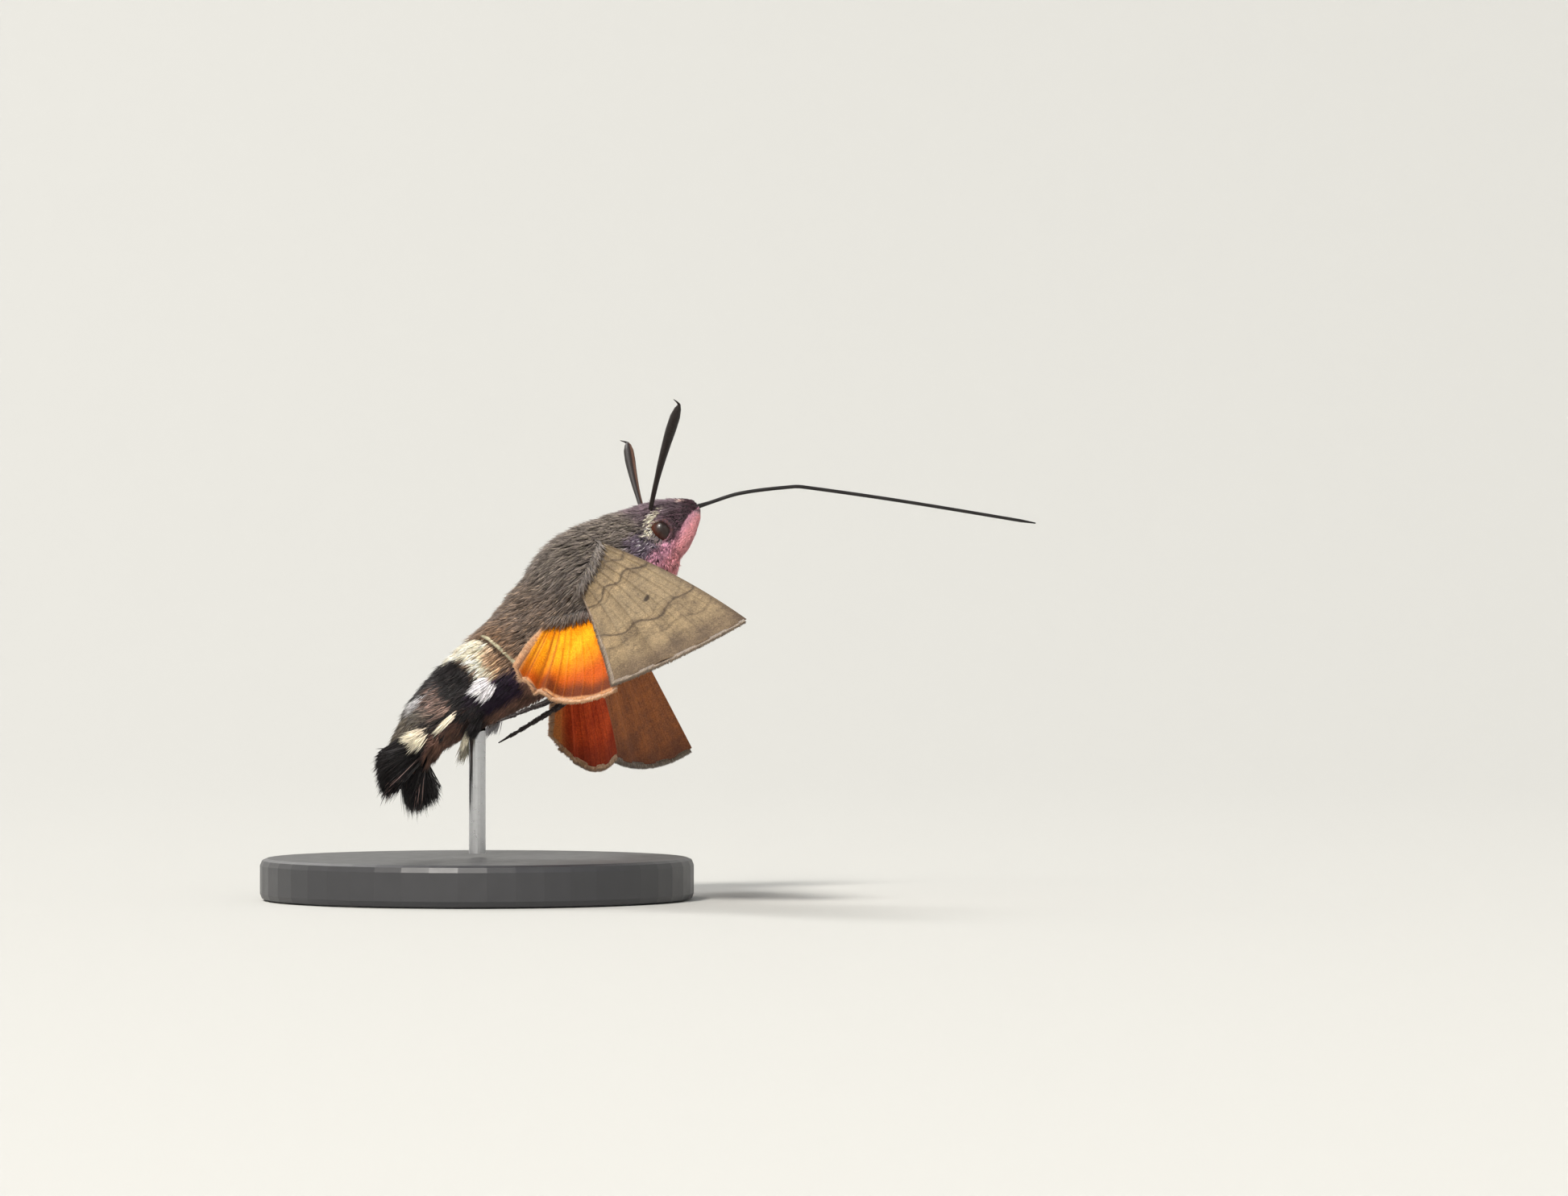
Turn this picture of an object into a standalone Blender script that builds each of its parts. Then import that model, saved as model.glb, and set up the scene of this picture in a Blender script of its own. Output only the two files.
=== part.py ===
"""A hummingbird hawk moth, life size, hovering above a small display stand.

The moth is modelled in its own frame, +X towards its head, +Y to its left and +Z up, with its body
reared up at about 40 degrees as it hovers. It is then banked about X and lifted onto the stand. The
world's origin is the middle of the stand's underside, under the rod.
"""

import math
import random

import bmesh
import bpy
from mathutils import Vector

MM = 0.001
GAP = 0.3 * MM
BANK = math.radians(13)
SHARP_ANGLE = math.radians(50)
RIGHT, LEFT = -1, 1
SIDES = {"right": RIGHT, "left": LEFT}

# The body's stations from the nose to the tail root, in mm: forward, up, half width, half depth.
BODY_STATIONS = {
    "nose": (10.4, 10.35, 0.42, 0.44),
    "face": (9.4, 9.7, 1.18, 1.27),
    "eyes": (8.25, 8.93, 1.87, 2.02),
    "neck": (7.25, 8.1, 2.15, 2.65),
    "collar": (6.2, 7.1, 2.9, 3.4),
    "thorax": (3.05, 4.2, 4.3, 4.75),
    "waist": (0.0, 1.4, 3.9, 4.05),
    "belly_front": (-2.45, -0.7, 3.9, 3.5),
    "belly_middle": (-5.35, -2.8, 3.8, 3.0),
    "belly_rear": (-8.4, -5.2, 3.0, 2.3),
    "tail_root": (-9.9, -6.9, 2.1, 1.6),
}
BODY_SIDES = 20
SHEATH_RINGS = 28
HEAD_END = 4.9 * MM
THORAX_END = 13.2 * MM
HEAD_RINGS, THORAX_RINGS, ABDOMEN_RINGS = 10, 9, 11

# The eyes, in mm in the moth's frame.
EYE_CENTRE = (7.6, 1.35, 8.1)
EYE_RADIUS = 0.92 * MM
EYE_SIDES, SOCKET_SIDES = 16, 20

# The tongue's stations, in mm: forward and up. The last one closes its length at 25 mm.
TONGUE_STATIONS = (
    (9.9, 10.05),
    (11.0, 10.42),
    (13.45, 11.2),
    (17.35, 11.7),
    (18.25, 11.65),
    (25.1, 10.65),
    (34.9, 9.0),
)
TONGUE_STEPS = 40
TONGUE_RADIUS = 0.26 * MM
TONGUE_END = (0.8, 0.45)

# The feelers rise from the crown, in mm in the moth's frame. Each ends in a small hook.
FEELER_ROOT = (6.75, 0.85, 9.4)
FEELER_TIP = {"right": (8.55, -7.9, 15.7), "left": (5.85, 7.1, 16.7)}
FEELER_BOW = 0.7 * MM
FEELER_HOOK = 0.55 * MM
FEELER_RADII = ((0.0, 0.25), (0.35, 0.26), (0.8, 0.36), (0.93, 0.30), (1.0, 0.2))
FEELER_STEPS = 14
HOOK_RADIUS = 0.1 * MM

# The palps stand against the face, under the tongue: forward, out, up, half width and half depth in mm.
PALP_STATIONS = (
    (8.15, 0.82, 6.55, 0.45, 0.45),
    (8.8, 0.84, 7.25, 0.66, 0.72),
    (9.5, 0.82, 8.35, 0.66, 0.70),
    (10.05, 0.74, 9.2, 0.52, 0.46),
    (10.3, 0.66, 9.6, 0.22, 0.22),
)
PALP_TILT = (0.83, 0, -0.55)
PALP_RINGS, PALP_SIDES = 9, 12

# Each wing's root, tip and rear corner in mm in the moth's frame, as the photographed beat holds them.
FOREWING_ROOT = (2.9, 3.6, 5.9)
FOREWING_REACH = {
    "right": ((11.45, -20.2, -2.2), (3.3, -12.6, -5.5)),
    "left": ((10.4, 20.1, -3.2), (4.5, 12.6, -5.4)),
}
HINDWING_ROOT = (1.5, 3.5, 1.6)
HINDWING_REACH = {
    "right": ((3.75, -11.7, -5.65), (-3.2, -7.7, -3.6)),
    "left": ((5.0, 11.2, -5.6), (0.2, 7.4, -5.2)),
}

# The flat outlines, in mm: along the span to the tip, then back along the chord.
FOREWING = {
    "costa": ((-0.9, -0.8), (10.5, -1.1), (20.4, 0.0)),
    "inner": ((-0.9, 2.5), (5.6, 4.6), (11.9, 8.1)),
    "margin": ((20.4, 0.0), (19.2, 4.6), (11.9, 8.1)),
    "veins": (0.09, 0.22, 0.36, 0.50, 0.65, 0.83),
    "rows": 11,
    "camber": 0.7,
    "droop": -0.9,
    "pleat": 0.0,
}
HINDWING = {
    "costa": ((-1.2, -0.4), (5.0, -1.7), (11.0, -0.2)),
    "inner": ((-0.9, 1.5), (1.9, 3.7), (5.6, 6.0)),
    "margin": ((11.0, -0.2), (10.3, 4.6), (5.6, 6.0)),
    "veins": (0.14, 0.32, 0.5, 0.68, 0.86),
    "rows": 8,
    "camber": -0.9,
    "droop": 0.0,
    "pleat": 0.2,
}
PLEATS_FROM = 0.6
MEMBRANE = 0.5 * MM
VEIN = 0.76 * MM
WING_EDGE = 0.3 * MM
VEIN_FLANK = 0.022
VEIN_RISE = 0.4

# The legs leave the thorax and fold back under it. First the stations that follow the body: mm from
# the nose, degrees round from the back, mm clear of the body and radius in mm. Then those in the
# moth's frame: forward, out, up, radius.
LEG_ROOTS = {
    "front": ((6.4, 166, -0.9, 0.34), (6.6, 158, 0.85, 0.34), (9.0, 148, 0.75, 0.28), (11.2, 146, 0.7, 0.25)),
    "middle": ((9.2, 160, -0.9, 0.36), (9.0, 132, 0.9, 0.36), (11.6, 126, 0.8, 0.30), (14.2, 128, 0.8, 0.25)),
    "hind": ((11.6, 156, -0.9, 0.38), (12.4, 150, 0.85, 0.36)),
}
HIND_LEG_ENDS = {
    "right": ((-0.3, 2.0, -4.35, 0.33), (-2.1, 2.0, -5.15, 0.28), (-4.4, 2.0, -6.1, 0.22)),
    "left": ((0.5, 2.1, -3.9, 0.33), (-1.6, 2.1, -5.25, 0.28), (-4.1, 2.1, -6.75, 0.22)),
}

LEG_STEPS = 16

# The abdomen's side tufts: mm from the nose, degrees round from the back, lock length and width in mm.
SIDE_TUFTS = ((20.2, 108, 2.7, 1.1), (23.4, 114, 2.4, 0.9))
TUFT_LOCKS = 5
TUFT_ROW = math.radians(24)
TUFT_SPREAD = math.radians(40)
TUFT_HANG = 0.2
TUFT_RISE = 0.42
TUFT_ROOT_DEPTH = 0.55 * MM
TUFT_CURL = 0.35 * MM

# A lock's rings: share of its length, then its breadth as a share of the full width.
LOCK_RINGS = ((0.0, 0.75), (0.45, 1.0), (0.8, 0.62))
LOCK_THICKNESS = 0.55 * MM
LOCK_THINNING = 0.35

# The tail fan's two lobes, twisted so that the left one hangs lower.
FAN_LEAN = math.radians(13)
FAN_TWIST = math.radians(32)
FAN_LENGTH = 5.0 * MM
FAN_HALF_WIDTH = 4.3 * MM
FAN_LONGEST = 0.42
FAN_ROUND = 0.9
FAN_CORE = 2.4 * MM
# The core's rings: share of its length, then width and depth as shares of the tail root's.
FAN_CORE_RINGS = ((0.0, 1.0, 1.0), (0.35, 1.02, 0.84), (0.7, 0.98, 0.62), (1.0, 0.8, 0.4))
FAN_CORE_SIDES = 16
FAN_LOCKS = 7
FAN_LOCK_WIDTH = 0.95 * MM
FAN_ROOTS = (0.3, 0.42)
FAN_ROOT_SPREAD = 0.66
FAN_ROLL = 0.25
FAN_TIER = 0.4 * MM
FAN_CLEFT = 0.13

# The stand.
BASE_RADIUS = 15.5 * MM
BASE_HEIGHT = 3.0 * MM
BASE_BEVEL = 0.5 * MM
BASE_SIDES = 48
ROD_RADIUS = 0.6 * MM
ROD_SIDES = 20
ROD_INTO_BODY = 2.0 * MM
MOTH_ORIGIN = Vector((5.7, 1.4, 18.2)) * MM

COLOURS = {
    "fur": ((0.115, 0.098, 0.082), 0.9, 0.0),
    "abdomen": ((0.06, 0.05, 0.045), 0.9, 0.0),
    "tail": ((0.012, 0.010, 0.010), 0.85, 0.0),
    "palp": ((0.72, 0.42, 0.43), 0.85, 0.0),
    "eye": ((0.035, 0.014, 0.010), 0.15, 0.0),
    "feeler": ((0.035, 0.022, 0.018), 0.6, 0.0),
    "forewing": ((0.21, 0.17, 0.125), 0.8, 0.0),
    "hindwing": ((0.80, 0.33, 0.045), 0.75, 0.0),
    "leg": ((0.045, 0.035, 0.030), 0.7, 0.0),
    "base": ((0.055, 0.055, 0.058), 0.45, 0.6),
    "rod": ((0.55, 0.55, 0.56), 0.3, 1.0),
}


def millimetres(point):
    return Vector(point) * MM


def cubic(rows, at):
    """The values at distance at, on a smooth curve through rows of a distance followed by values."""
    last = len(rows) - 1
    low = max([k for k in range(last) if rows[k][0] <= at], default=0)
    high = low + 1
    span = rows[high][0] - rows[low][0]
    t = (at - rows[low][0]) / span

    def slope(k, j):
        before, after = rows[max(k - 1, 0)], rows[min(k + 1, last)]
        return (after[j] - before[j]) / (after[0] - before[0]) * span

    return [
        (2 * t**3 - 3 * t**2 + 1) * rows[low][j]
        + (t**3 - 2 * t**2 + t) * slope(low, j)
        + (3 * t**2 - 2 * t**3) * rows[high][j]
        + (t**3 - t**2) * slope(high, j)
        for j in range(1, len(rows[low]))
    ]


def by_distance(stations, axes):
    """Stations in mm as rows in metres, led by the distance along them. The first axes values are a place."""
    rows = []
    distance = 0.0
    for station in stations:
        values = [value * MM for value in station]
        if rows:
            distance += math.dist(values[:axes], rows[-1][1 : axes + 1])
        rows.append((distance, *values))
    return rows


BODY = by_distance(BODY_STATIONS.values(), 2)
TAIL_ROOT = BODY[-1][0]


def body_frame(s):
    """The body's centre, tailward and upward directions, half width and half depth, s from the nose."""
    x, z, half_width, half_depth = cubic(BODY, s)
    step = 0.2 * MM
    ahead, behind = cubic(BODY, s - step), cubic(BODY, s + step)
    tailward = Vector((behind[0] - ahead[0], 0, behind[1] - ahead[1])).normalized()
    upward = Vector((tailward.z, 0, -tailward.x))
    return Vector((x, 0, z)), tailward, upward, half_width, half_depth


def body_point(s, angle, lift=0.0):
    """A point on the body, s from the nose and angle round from the back to the left, raised by lift."""
    centre, _, upward, half_width, half_depth = body_frame(s)
    sideways = Vector((0, math.sin(angle) * (half_width + lift), 0))
    return centre + upward * math.cos(angle) * (half_depth + lift) + sideways


def body_rings(start, end, count, lift=0.0):
    rings = []
    for i in range(count):
        s = start + (end - start) * i / (count - 1)
        rings.append([body_point(s, math.tau * k / BODY_SIDES, lift) for k in range(BODY_SIDES)])
    return rings


def material_for(slot):
    material = bpy.data.materials.get(slot)
    if material is None:
        colour, roughness, metallic = COLOURS[slot]
        material = bpy.data.materials.new(slot)
        material.use_nodes = True
        shader = material.node_tree.nodes["Principled BSDF"]
        shader.inputs["Base Color"].default_value = (*colour, 1)
        shader.inputs["Roughness"].default_value = roughness
        shader.inputs["Metallic"].default_value = metallic
    return material


def add_mesh(name, mesh, collection, slot=None, parent=None):
    obj = bpy.data.objects.new(name, mesh)
    collection.objects.link(obj)
    obj.parent = parent
    if slot:
        obj.data.materials.clear()
        obj.data.materials.append(material_for(slot))
    return obj


def mesh_of(bm, name):
    bmesh.ops.recalc_face_normals(bm, faces=bm.faces)
    mesh = bpy.data.meshes.new(name)
    bm.to_mesh(mesh)
    bm.free()
    mesh.shade_smooth()
    mesh.set_sharp_from_angle(angle=SHARP_ANGLE)
    return mesh


def loft(name, rings, tip=None):
    """A closed mesh through rings of points, capped flat at each end, or drawn to a point at the last."""
    bm = bmesh.new()
    rows = [[bm.verts.new(point) for point in ring] for ring in rings]
    count = len(rows[0])
    for low, high in zip(rows, rows[1:]):
        for k in range(count):
            bm.faces.new((low[k], low[(k + 1) % count], high[(k + 1) % count], high[k]))
    bm.faces.new(rows[0])
    if tip is None:
        bm.faces.new(rows[-1])
    else:
        point = bm.verts.new(tip)
        for k in range(count):
            bm.faces.new((rows[-1][k], rows[-1][(k + 1) % count], point))
    return mesh_of(bm, name)


def make_cutter(name, mesh, parent=None):
    """A helper whose shape is taken away from others. It is never part of the model itself."""
    cutter = add_mesh(name, mesh, CUTTERS, parent=parent)
    cutter.hide_render = True
    cutter.display_type = "WIRE"
    return cutter


def apply_modifiers(obj):
    """Makes the modifiers' result the mesh, and keeps only its largest closed surface."""
    bpy.context.view_layer.update()
    graph = bpy.context.evaluated_depsgraph_get()
    mesh = bpy.data.meshes.new_from_object(obj.evaluated_get(graph))
    bm = bmesh.new()
    bm.from_mesh(mesh)
    islands = []
    left = set(bm.faces)
    while left:
        grown, edge = set(), [left.pop()]
        while edge:
            face = edge.pop()
            grown.add(face)
            near = {other for side in face.edges for other in side.link_faces} & left
            left -= near
            edge.extend(near)
        islands.append(grown)
    islands.sort(key=lambda faces: sum(face.calc_area() for face in faces))
    for faces in islands[:-1]:
        bmesh.ops.delete(bm, geom=list(faces), context="FACES")
    bm.to_mesh(mesh)
    bm.free()
    obj.modifiers.clear()
    obj.data = mesh
    mesh.shade_smooth()
    mesh.set_sharp_from_angle(angle=SHARP_ANGLE)


def cut(obj, *cutters):
    for cutter in cutters:
        boolean = obj.modifiers.new(f"clear_of_{cutter.name}", "BOOLEAN")
        boolean.operation = "DIFFERENCE"
        boolean.object = cutter
    apply_modifiers(obj)


def fuse(obj, meshes):
    """Joins closed meshes to obj with one Boolean union."""
    extras = bpy.data.collections.new("to_fuse")
    bpy.context.scene.collection.children.link(extras)
    for i, mesh in enumerate(meshes):
        add_mesh(f"{obj.name}_piece_{i}", mesh, extras, parent=obj.parent)
    boolean = obj.modifiers.new("fused", "BOOLEAN")
    boolean.operation = "UNION"
    boolean.operand_type = "COLLECTION"
    boolean.collection = extras
    apply_modifiers(obj)
    for piece in list(extras.objects):
        bpy.data.objects.remove(piece)
    bpy.data.collections.remove(extras)


def tube(name, points, radii, slot):
    """A round rod along points, thick as radii say, as a closed mesh object."""
    curve = bpy.data.curves.new(name, "CURVE")
    curve.dimensions = "3D"
    curve.bevel_depth = 1.0
    curve.bevel_resolution = 2
    curve.use_fill_caps = True
    spline = curve.splines.new("POLY")
    spline.points.add(len(points) - 1)
    for target, point, radius in zip(spline.points, points, radii):
        target.co = (*point, 1)
        target.radius = radius
    guide = bpy.data.objects.new(f"{name}_curve", curve)
    MOTH.objects.link(guide)
    bpy.context.view_layer.update()
    mesh = bpy.data.meshes.new_from_object(guide.evaluated_get(bpy.context.evaluated_depsgraph_get()))
    bpy.data.objects.remove(guide)
    bm = bmesh.new()
    bm.from_mesh(mesh)
    bmesh.ops.remove_doubles(bm, verts=bm.verts, dist=0.001 * MM)
    return add_mesh(name, mesh_of(bm, name), MOTH, slot, POSE)


def through(rows, steps):
    """Places and radii along a smooth curve through rows of a distance, three coordinates and a radius."""
    length = rows[-1][0]
    values = [cubic(rows, length * i / steps) for i in range(steps + 1)]
    return [Vector(value[:3]) for value in values], [value[3] for value in values]


def lock(root, along, outward, length, width, thickness, bend):
    """A flat, tapered lock from root: four-sided, bending by bend along outward towards its tip."""
    along = along.normalized()
    across = along.cross(outward).normalized()
    outward = across.cross(along).normalized()
    rings = []
    for share, breadth in LOCK_RINGS:
        centre = root + along * length * share + outward * bend * share**2
        half = width / 2 * breadth
        deep = thickness / 2 * (1 - LOCK_THINNING * share)
        wide, thick = across * half, outward * deep
        rings.append([centre + wide, centre + thick, centre - wide, centre - thick])
    return loft("lock", rings, tip=root + along * length + outward * bend)


def bezier(points, t):
    start, middle, end = (Vector(point) for point in points)
    return start * (1 - t) ** 2 + middle * 2 * t * (1 - t) + end * t**2


def wing_point(shape, u, v):
    """A point of the flat wing in mm: u runs from the front edge to the rear, v from root to margin."""
    costa, inner, margin = (bezier(shape["costa"], v), bezier(shape["inner"], v), bezier(shape["margin"], u))
    root = Vector(shape["costa"][0]).lerp(Vector(shape["inner"][0]), u)
    front = Vector(shape["costa"][0]).lerp(Vector(shape["costa"][2]), v)
    rear = Vector(shape["inner"][0]).lerp(Vector(shape["inner"][2]), v)
    return costa.lerp(inner, u) + root.lerp(margin, v) - front.lerp(rear, u)


def wing_columns(veins):
    """Where the grid's lines cross the wing: each vein with a flank on both sides, and one between veins."""
    columns = [0.0]
    for vein in veins:
        columns.append((columns[-1] + vein - VEIN_FLANK) / 2)
        columns += [vein - VEIN_FLANK, vein, vein + VEIN_FLANK]
    return columns + [(columns[-1] + 1) / 2, 1.0]


def wing_axes(shape, root, tip, corner):
    """The wing's two in-plane vectors per flat mm, which place its tip and corner, and its upper direction."""
    (tip_x, tip_y), (corner_x, corner_y) = shape["costa"][2], shape["inner"][2]
    area = tip_x * corner_y - tip_y * corner_x
    span = ((tip - root) * corner_y - (corner - root) * tip_y) / area
    chord = ((corner - root) * tip_x - (tip - root) * corner_x) / area
    upper = span.cross(chord).normalized()
    return span, chord, upper if upper.z > 0 else -upper


def wing(name, shape, root, reach, slot):
    """A thin wing whose veins are ridges on both faces, cut to meet the body."""
    root = millimetres(root)
    span, chord, upper = wing_axes(shape, root, *(millimetres(point) for point in reach))
    columns = wing_columns(shape["veins"])
    rows = shape["rows"]
    bm = bmesh.new()
    bmesh.ops.create_grid(bm, x_segments=len(columns) - 1, y_segments=rows, size=0.5)
    weights = bm.verts.layers.deform.verify()
    for vert in bm.verts:
        u = columns[round((vert.co.x + 0.5) * (len(columns) - 1))]
        v = vert.co.y + 0.5
        on_vein = u in shape["veins"]
        flat = wing_point(shape, u, v)
        rise = shape["camber"] * 4 * u * (1 - u) * v + shape["droop"] * v**2 * (1 - u)
        if u > PLEATS_FROM:
            by_vein = any(abs(u - vein) < 1.5 * VEIN_FLANK for vein in shape["veins"])
            rise += shape["pleat"] * v**2 * (1 if by_vein or u == 1 else -1)
        vert.co = root + span * flat.x + chord * flat.y + upper * rise * MM
        at_edge = v > 1 - 0.5 / rows or u in (0.0, 1.0)
        ridge = min(1, v / VEIN_RISE) if on_vein else 0
        thickness = WING_EDGE if at_edge else MEMBRANE + (VEIN - MEMBRANE) * ridge
        vert[weights][0] = thickness / VEIN
    bmesh.ops.triangulate(bm, faces=bm.faces)
    obj = add_mesh(name, mesh_of(bm, name), MOTH, slot, POSE)
    group = obj.vertex_groups.new(name="thickness")
    solidify = obj.modifiers.new("thickness", "SOLIDIFY")
    solidify.thickness = VEIN
    solidify.offset = 0
    solidify.vertex_group = group.name
    cut(obj, NEAR_BODY)
    return obj


def make_head():
    head = add_mesh("head", loft("head", body_rings(0, HEAD_END, HEAD_RINGS)), MOTH, "fur", POSE)
    sockets = []
    for side, sign in SIDES.items():
        centre = millimetres(EYE_CENTRE)
        centre.y *= sign
        eye = (f"eye_{side}", EYE_RADIUS, EYE_SIDES)
        socket = (f"socket_{side}", EYE_RADIUS + GAP, SOCKET_SIDES)
        for name, radius, sides in (eye, socket):
            bm = bmesh.new()
            bmesh.ops.create_uvsphere(bm, u_segments=sides, v_segments=sides // 2, radius=radius)
            bmesh.ops.translate(bm, vec=centre, verts=bm.verts)
            mesh = mesh_of(bm, name)
            if name.startswith("socket"):
                sockets.append(make_cutter(name, mesh, POSE))
            else:
                add_mesh(name, mesh, MOTH, "eye", POSE)
    cut(head, *sockets)


def make_palps():
    rows = by_distance(PALP_STATIONS, 3)
    for side, sign in SIDES.items():
        rings = []
        for i in range(PALP_RINGS):
            x, y, z, half_width, half_depth = cubic(rows, rows[-1][0] * i / (PALP_RINGS - 1))
            centre = Vector((x, sign * y, z))
            wide, deep = Vector((0, half_width, 0)), Vector(PALP_TILT) * half_depth
            turns = [math.tau * k / PALP_SIDES for k in range(PALP_SIDES)]
            rings.append([centre + wide * math.cos(turn) + deep * math.sin(turn) for turn in turns])
        palp = add_mesh(f"palp_{side}", loft("palp", rings), MOTH, "palp", POSE)
        cut(palp, NEAR_BODY)


def make_tongue():
    rows = [(distance, x, 0.0, z, TONGUE_RADIUS) for distance, x, z in by_distance(TONGUE_STATIONS, 2)]
    points, radii = through(rows, TONGUE_STEPS)
    radii[-2:] = [TONGUE_RADIUS * share for share in TONGUE_END]
    cut(tube("tongue", points, radii, "feeler"), NEAR_BODY)


def make_feeler(side):
    root = millimetres(FEELER_ROOT)
    root.y *= SIDES[side]
    tip = millimetres(FEELER_TIP[side])
    along = (tip - root).normalized()
    forward = (Vector((1, 0, 0)) - along * along.x).normalized()
    points = []
    radii = []
    for i in range(FEELER_STEPS + 1):
        share = i / FEELER_STEPS
        points.append(root.lerp(tip, share) + forward * FEELER_BOW * (share**2 - share))
        radii.append(cubic(FEELER_RADII, share)[0] * MM)
    points.append(tip + (along - forward).normalized() * FEELER_HOOK)
    radii.append(HOOK_RADIUS)
    cut(tube(f"antenna_{side}", points, radii, "feeler"), NEAR_BODY)


def make_leg(name, side, stations, ends=()):
    places = []
    for s, angle, lift, radius in stations:
        point = body_point(s * MM, math.radians(angle), lift * MM)
        places.append((*(point / MM), radius))
    places = [(x, y * SIDES[side], z, radius) for x, y, z, radius in (*places, *ends)]
    rows = by_distance(places, 3)
    points, radii = through(rows, LEG_STEPS)
    cut(tube(name, points, radii, "leg"), NEAR_BODY)


def side_tuft(s, angle, length, width, sign, draw):
    """The locks of one tuft, fanned round the tailward direction and standing a little off the body."""
    made = []
    for i in range(TUFT_LOCKS):
        share = i / (TUFT_LOCKS - 1) - 0.5
        here = math.radians(angle) + share * TUFT_ROW
        root = body_point(s * MM, here, -TUFT_ROOT_DEPTH)
        surface = body_point(s * MM, here)
        outward = (surface - root).normalized()
        tailward = body_frame(s * MM)[1]
        across = outward.cross(tailward)
        turn = share * TUFT_SPREAD
        along = tailward * math.cos(turn) + across * (math.sin(turn) + TUFT_HANG) + outward * TUFT_RISE
        flipped = [Vector((v.x, v.y * sign, v.z)) for v in (root, along, outward)]
        size = length * MM * draw.uniform(0.9, 1.1)
        made.append(lock(*flipped, size, width * MM, LOCK_THICKNESS, -TUFT_CURL))
    return made


def make_abdomen():
    rings = body_rings(THORAX_END + GAP, TAIL_ROOT - GAP / 2, ABDOMEN_RINGS)
    abdomen = add_mesh("abdomen", loft("abdomen", rings), MOTH, "abdomen", POSE)
    draw = random.Random(4)
    locks = []
    for sign in SIDES.values():
        for s, angle, length, width in SIDE_TUFTS:
            locks += side_tuft(s, angle, length, width, sign, draw)
    fuse(abdomen, locks)


def fan_axes():
    """The tail fan's directions: along it, across it to the left, and out of its upper face."""
    along = Vector((-math.sin(FAN_LEAN), 0, -math.cos(FAN_LEAN)))
    upper = Vector((-math.cos(FAN_LEAN), 0, math.sin(FAN_LEAN)))
    across = Vector((0, 1, 0)) * math.cos(FAN_TWIST) - upper * math.sin(FAN_TWIST)
    return along, across, across.cross(along)


def fan_section(share):
    """The core's centre, sideways and upward directions, as it turns from the abdomen into the fan."""
    along, across, upper = fan_axes()
    centre, tailward, body_up, _, _ = body_frame(TAIL_ROOT)
    middle = centre + tailward * GAP / 2 + tailward.lerp(along, share) * share * FAN_CORE
    return middle, Vector((0, 1, 0)).lerp(across, share).normalized(), body_up.lerp(upper, share).normalized()


def make_tail_fan():
    """A flattened core that turns into the fan's plane, with two tiers of locks for each lobe."""
    along, across, upper = fan_axes()
    _, _, _, half_width, half_depth = body_frame(TAIL_ROOT)
    rings = []
    for share, wide, deep in FAN_CORE_RINGS:
        middle, side, up = fan_section(share)
        up, side = up * half_depth * deep, side * half_width * wide
        turns = [math.tau * k / FAN_CORE_SIDES for k in range(FAN_CORE_SIDES)]
        rings.append([middle + up * math.cos(turn) + side * math.sin(turn) for turn in turns])
    fan = add_mesh("tail_fan", loft("tail_fan", rings), MOTH, "tail", POSE)
    draw = random.Random(9)
    locks = []
    for lobe in SIDES.values():
        for tier in (1, -1):
            for i in range(FAN_LOCKS):
                share = FAN_CLEFT + (1 - FAN_CLEFT) * i / (FAN_LOCKS - 1)
                middle, side, up = fan_section(draw.uniform(*FAN_ROOTS))
                start = middle + side * lobe * share * half_width * FAN_ROOT_SPREAD + up * tier * FAN_TIER
                reach = FAN_LENGTH * (1 - FAN_ROUND * (share - FAN_LONGEST) ** 2) * draw.uniform(0.95, 1.05)
                end = fan_section(0)[0] + along * reach + across * lobe * share * FAN_HALF_WIDTH
                roll = upper + across * draw.uniform(-FAN_ROLL, FAN_ROLL)
                way = end - start
                locks.append(lock(start, way, roll, way.length, FAN_LOCK_WIDTH, LOCK_THICKNESS, 0))
    fuse(fan, locks)


def cylinder(name, radius, low, high, sides, slot):
    """An upright round bar or disc on the world's Z axis."""
    bm = bmesh.new()
    bmesh.ops.create_cone(bm, cap_ends=True, segments=sides, radius1=radius, radius2=radius, depth=high - low)
    bmesh.ops.translate(bm, vec=(0, 0, (high + low) / 2), verts=bm.verts)
    return add_mesh(name, mesh_of(bm, name), MOTH, slot)


def make_stand():
    base = cylinder("stand_base", BASE_RADIUS, 0, BASE_HEIGHT, BASE_SIDES, "base")
    bevel = base.modifiers.new("rounded_rim", "BEVEL")
    bevel.width = BASE_BEVEL
    bevel.segments = 2
    bevel.limit_method = "ANGLE"
    top = MOTH_ORIGIN.z - ROD_INTO_BODY
    rod = cylinder("stand_rod", ROD_RADIUS, BASE_HEIGHT + GAP, top, ROD_SIDES, "rod")
    cut(rod, NEAR_BODY)


for old in list(bpy.data.objects):
    bpy.data.objects.remove(old)
MOTH = bpy.data.collections.new("hummingbird_hawk_moth")
CUTTERS = bpy.data.collections.new("cutters")
for made_collection in (MOTH, CUTTERS):
    bpy.context.scene.collection.children.link(made_collection)
POSE = bpy.data.objects.new("hovering_pose", None)
POSE.rotation_euler = (-BANK, 0, 0)
POSE.location = MOTH_ORIGIN
MOTH.objects.link(POSE)
NEAR_BODY = make_cutter("near_body", loft("near_body", body_rings(-GAP, TAIL_ROOT, SHEATH_RINGS, GAP)), POSE)

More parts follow.
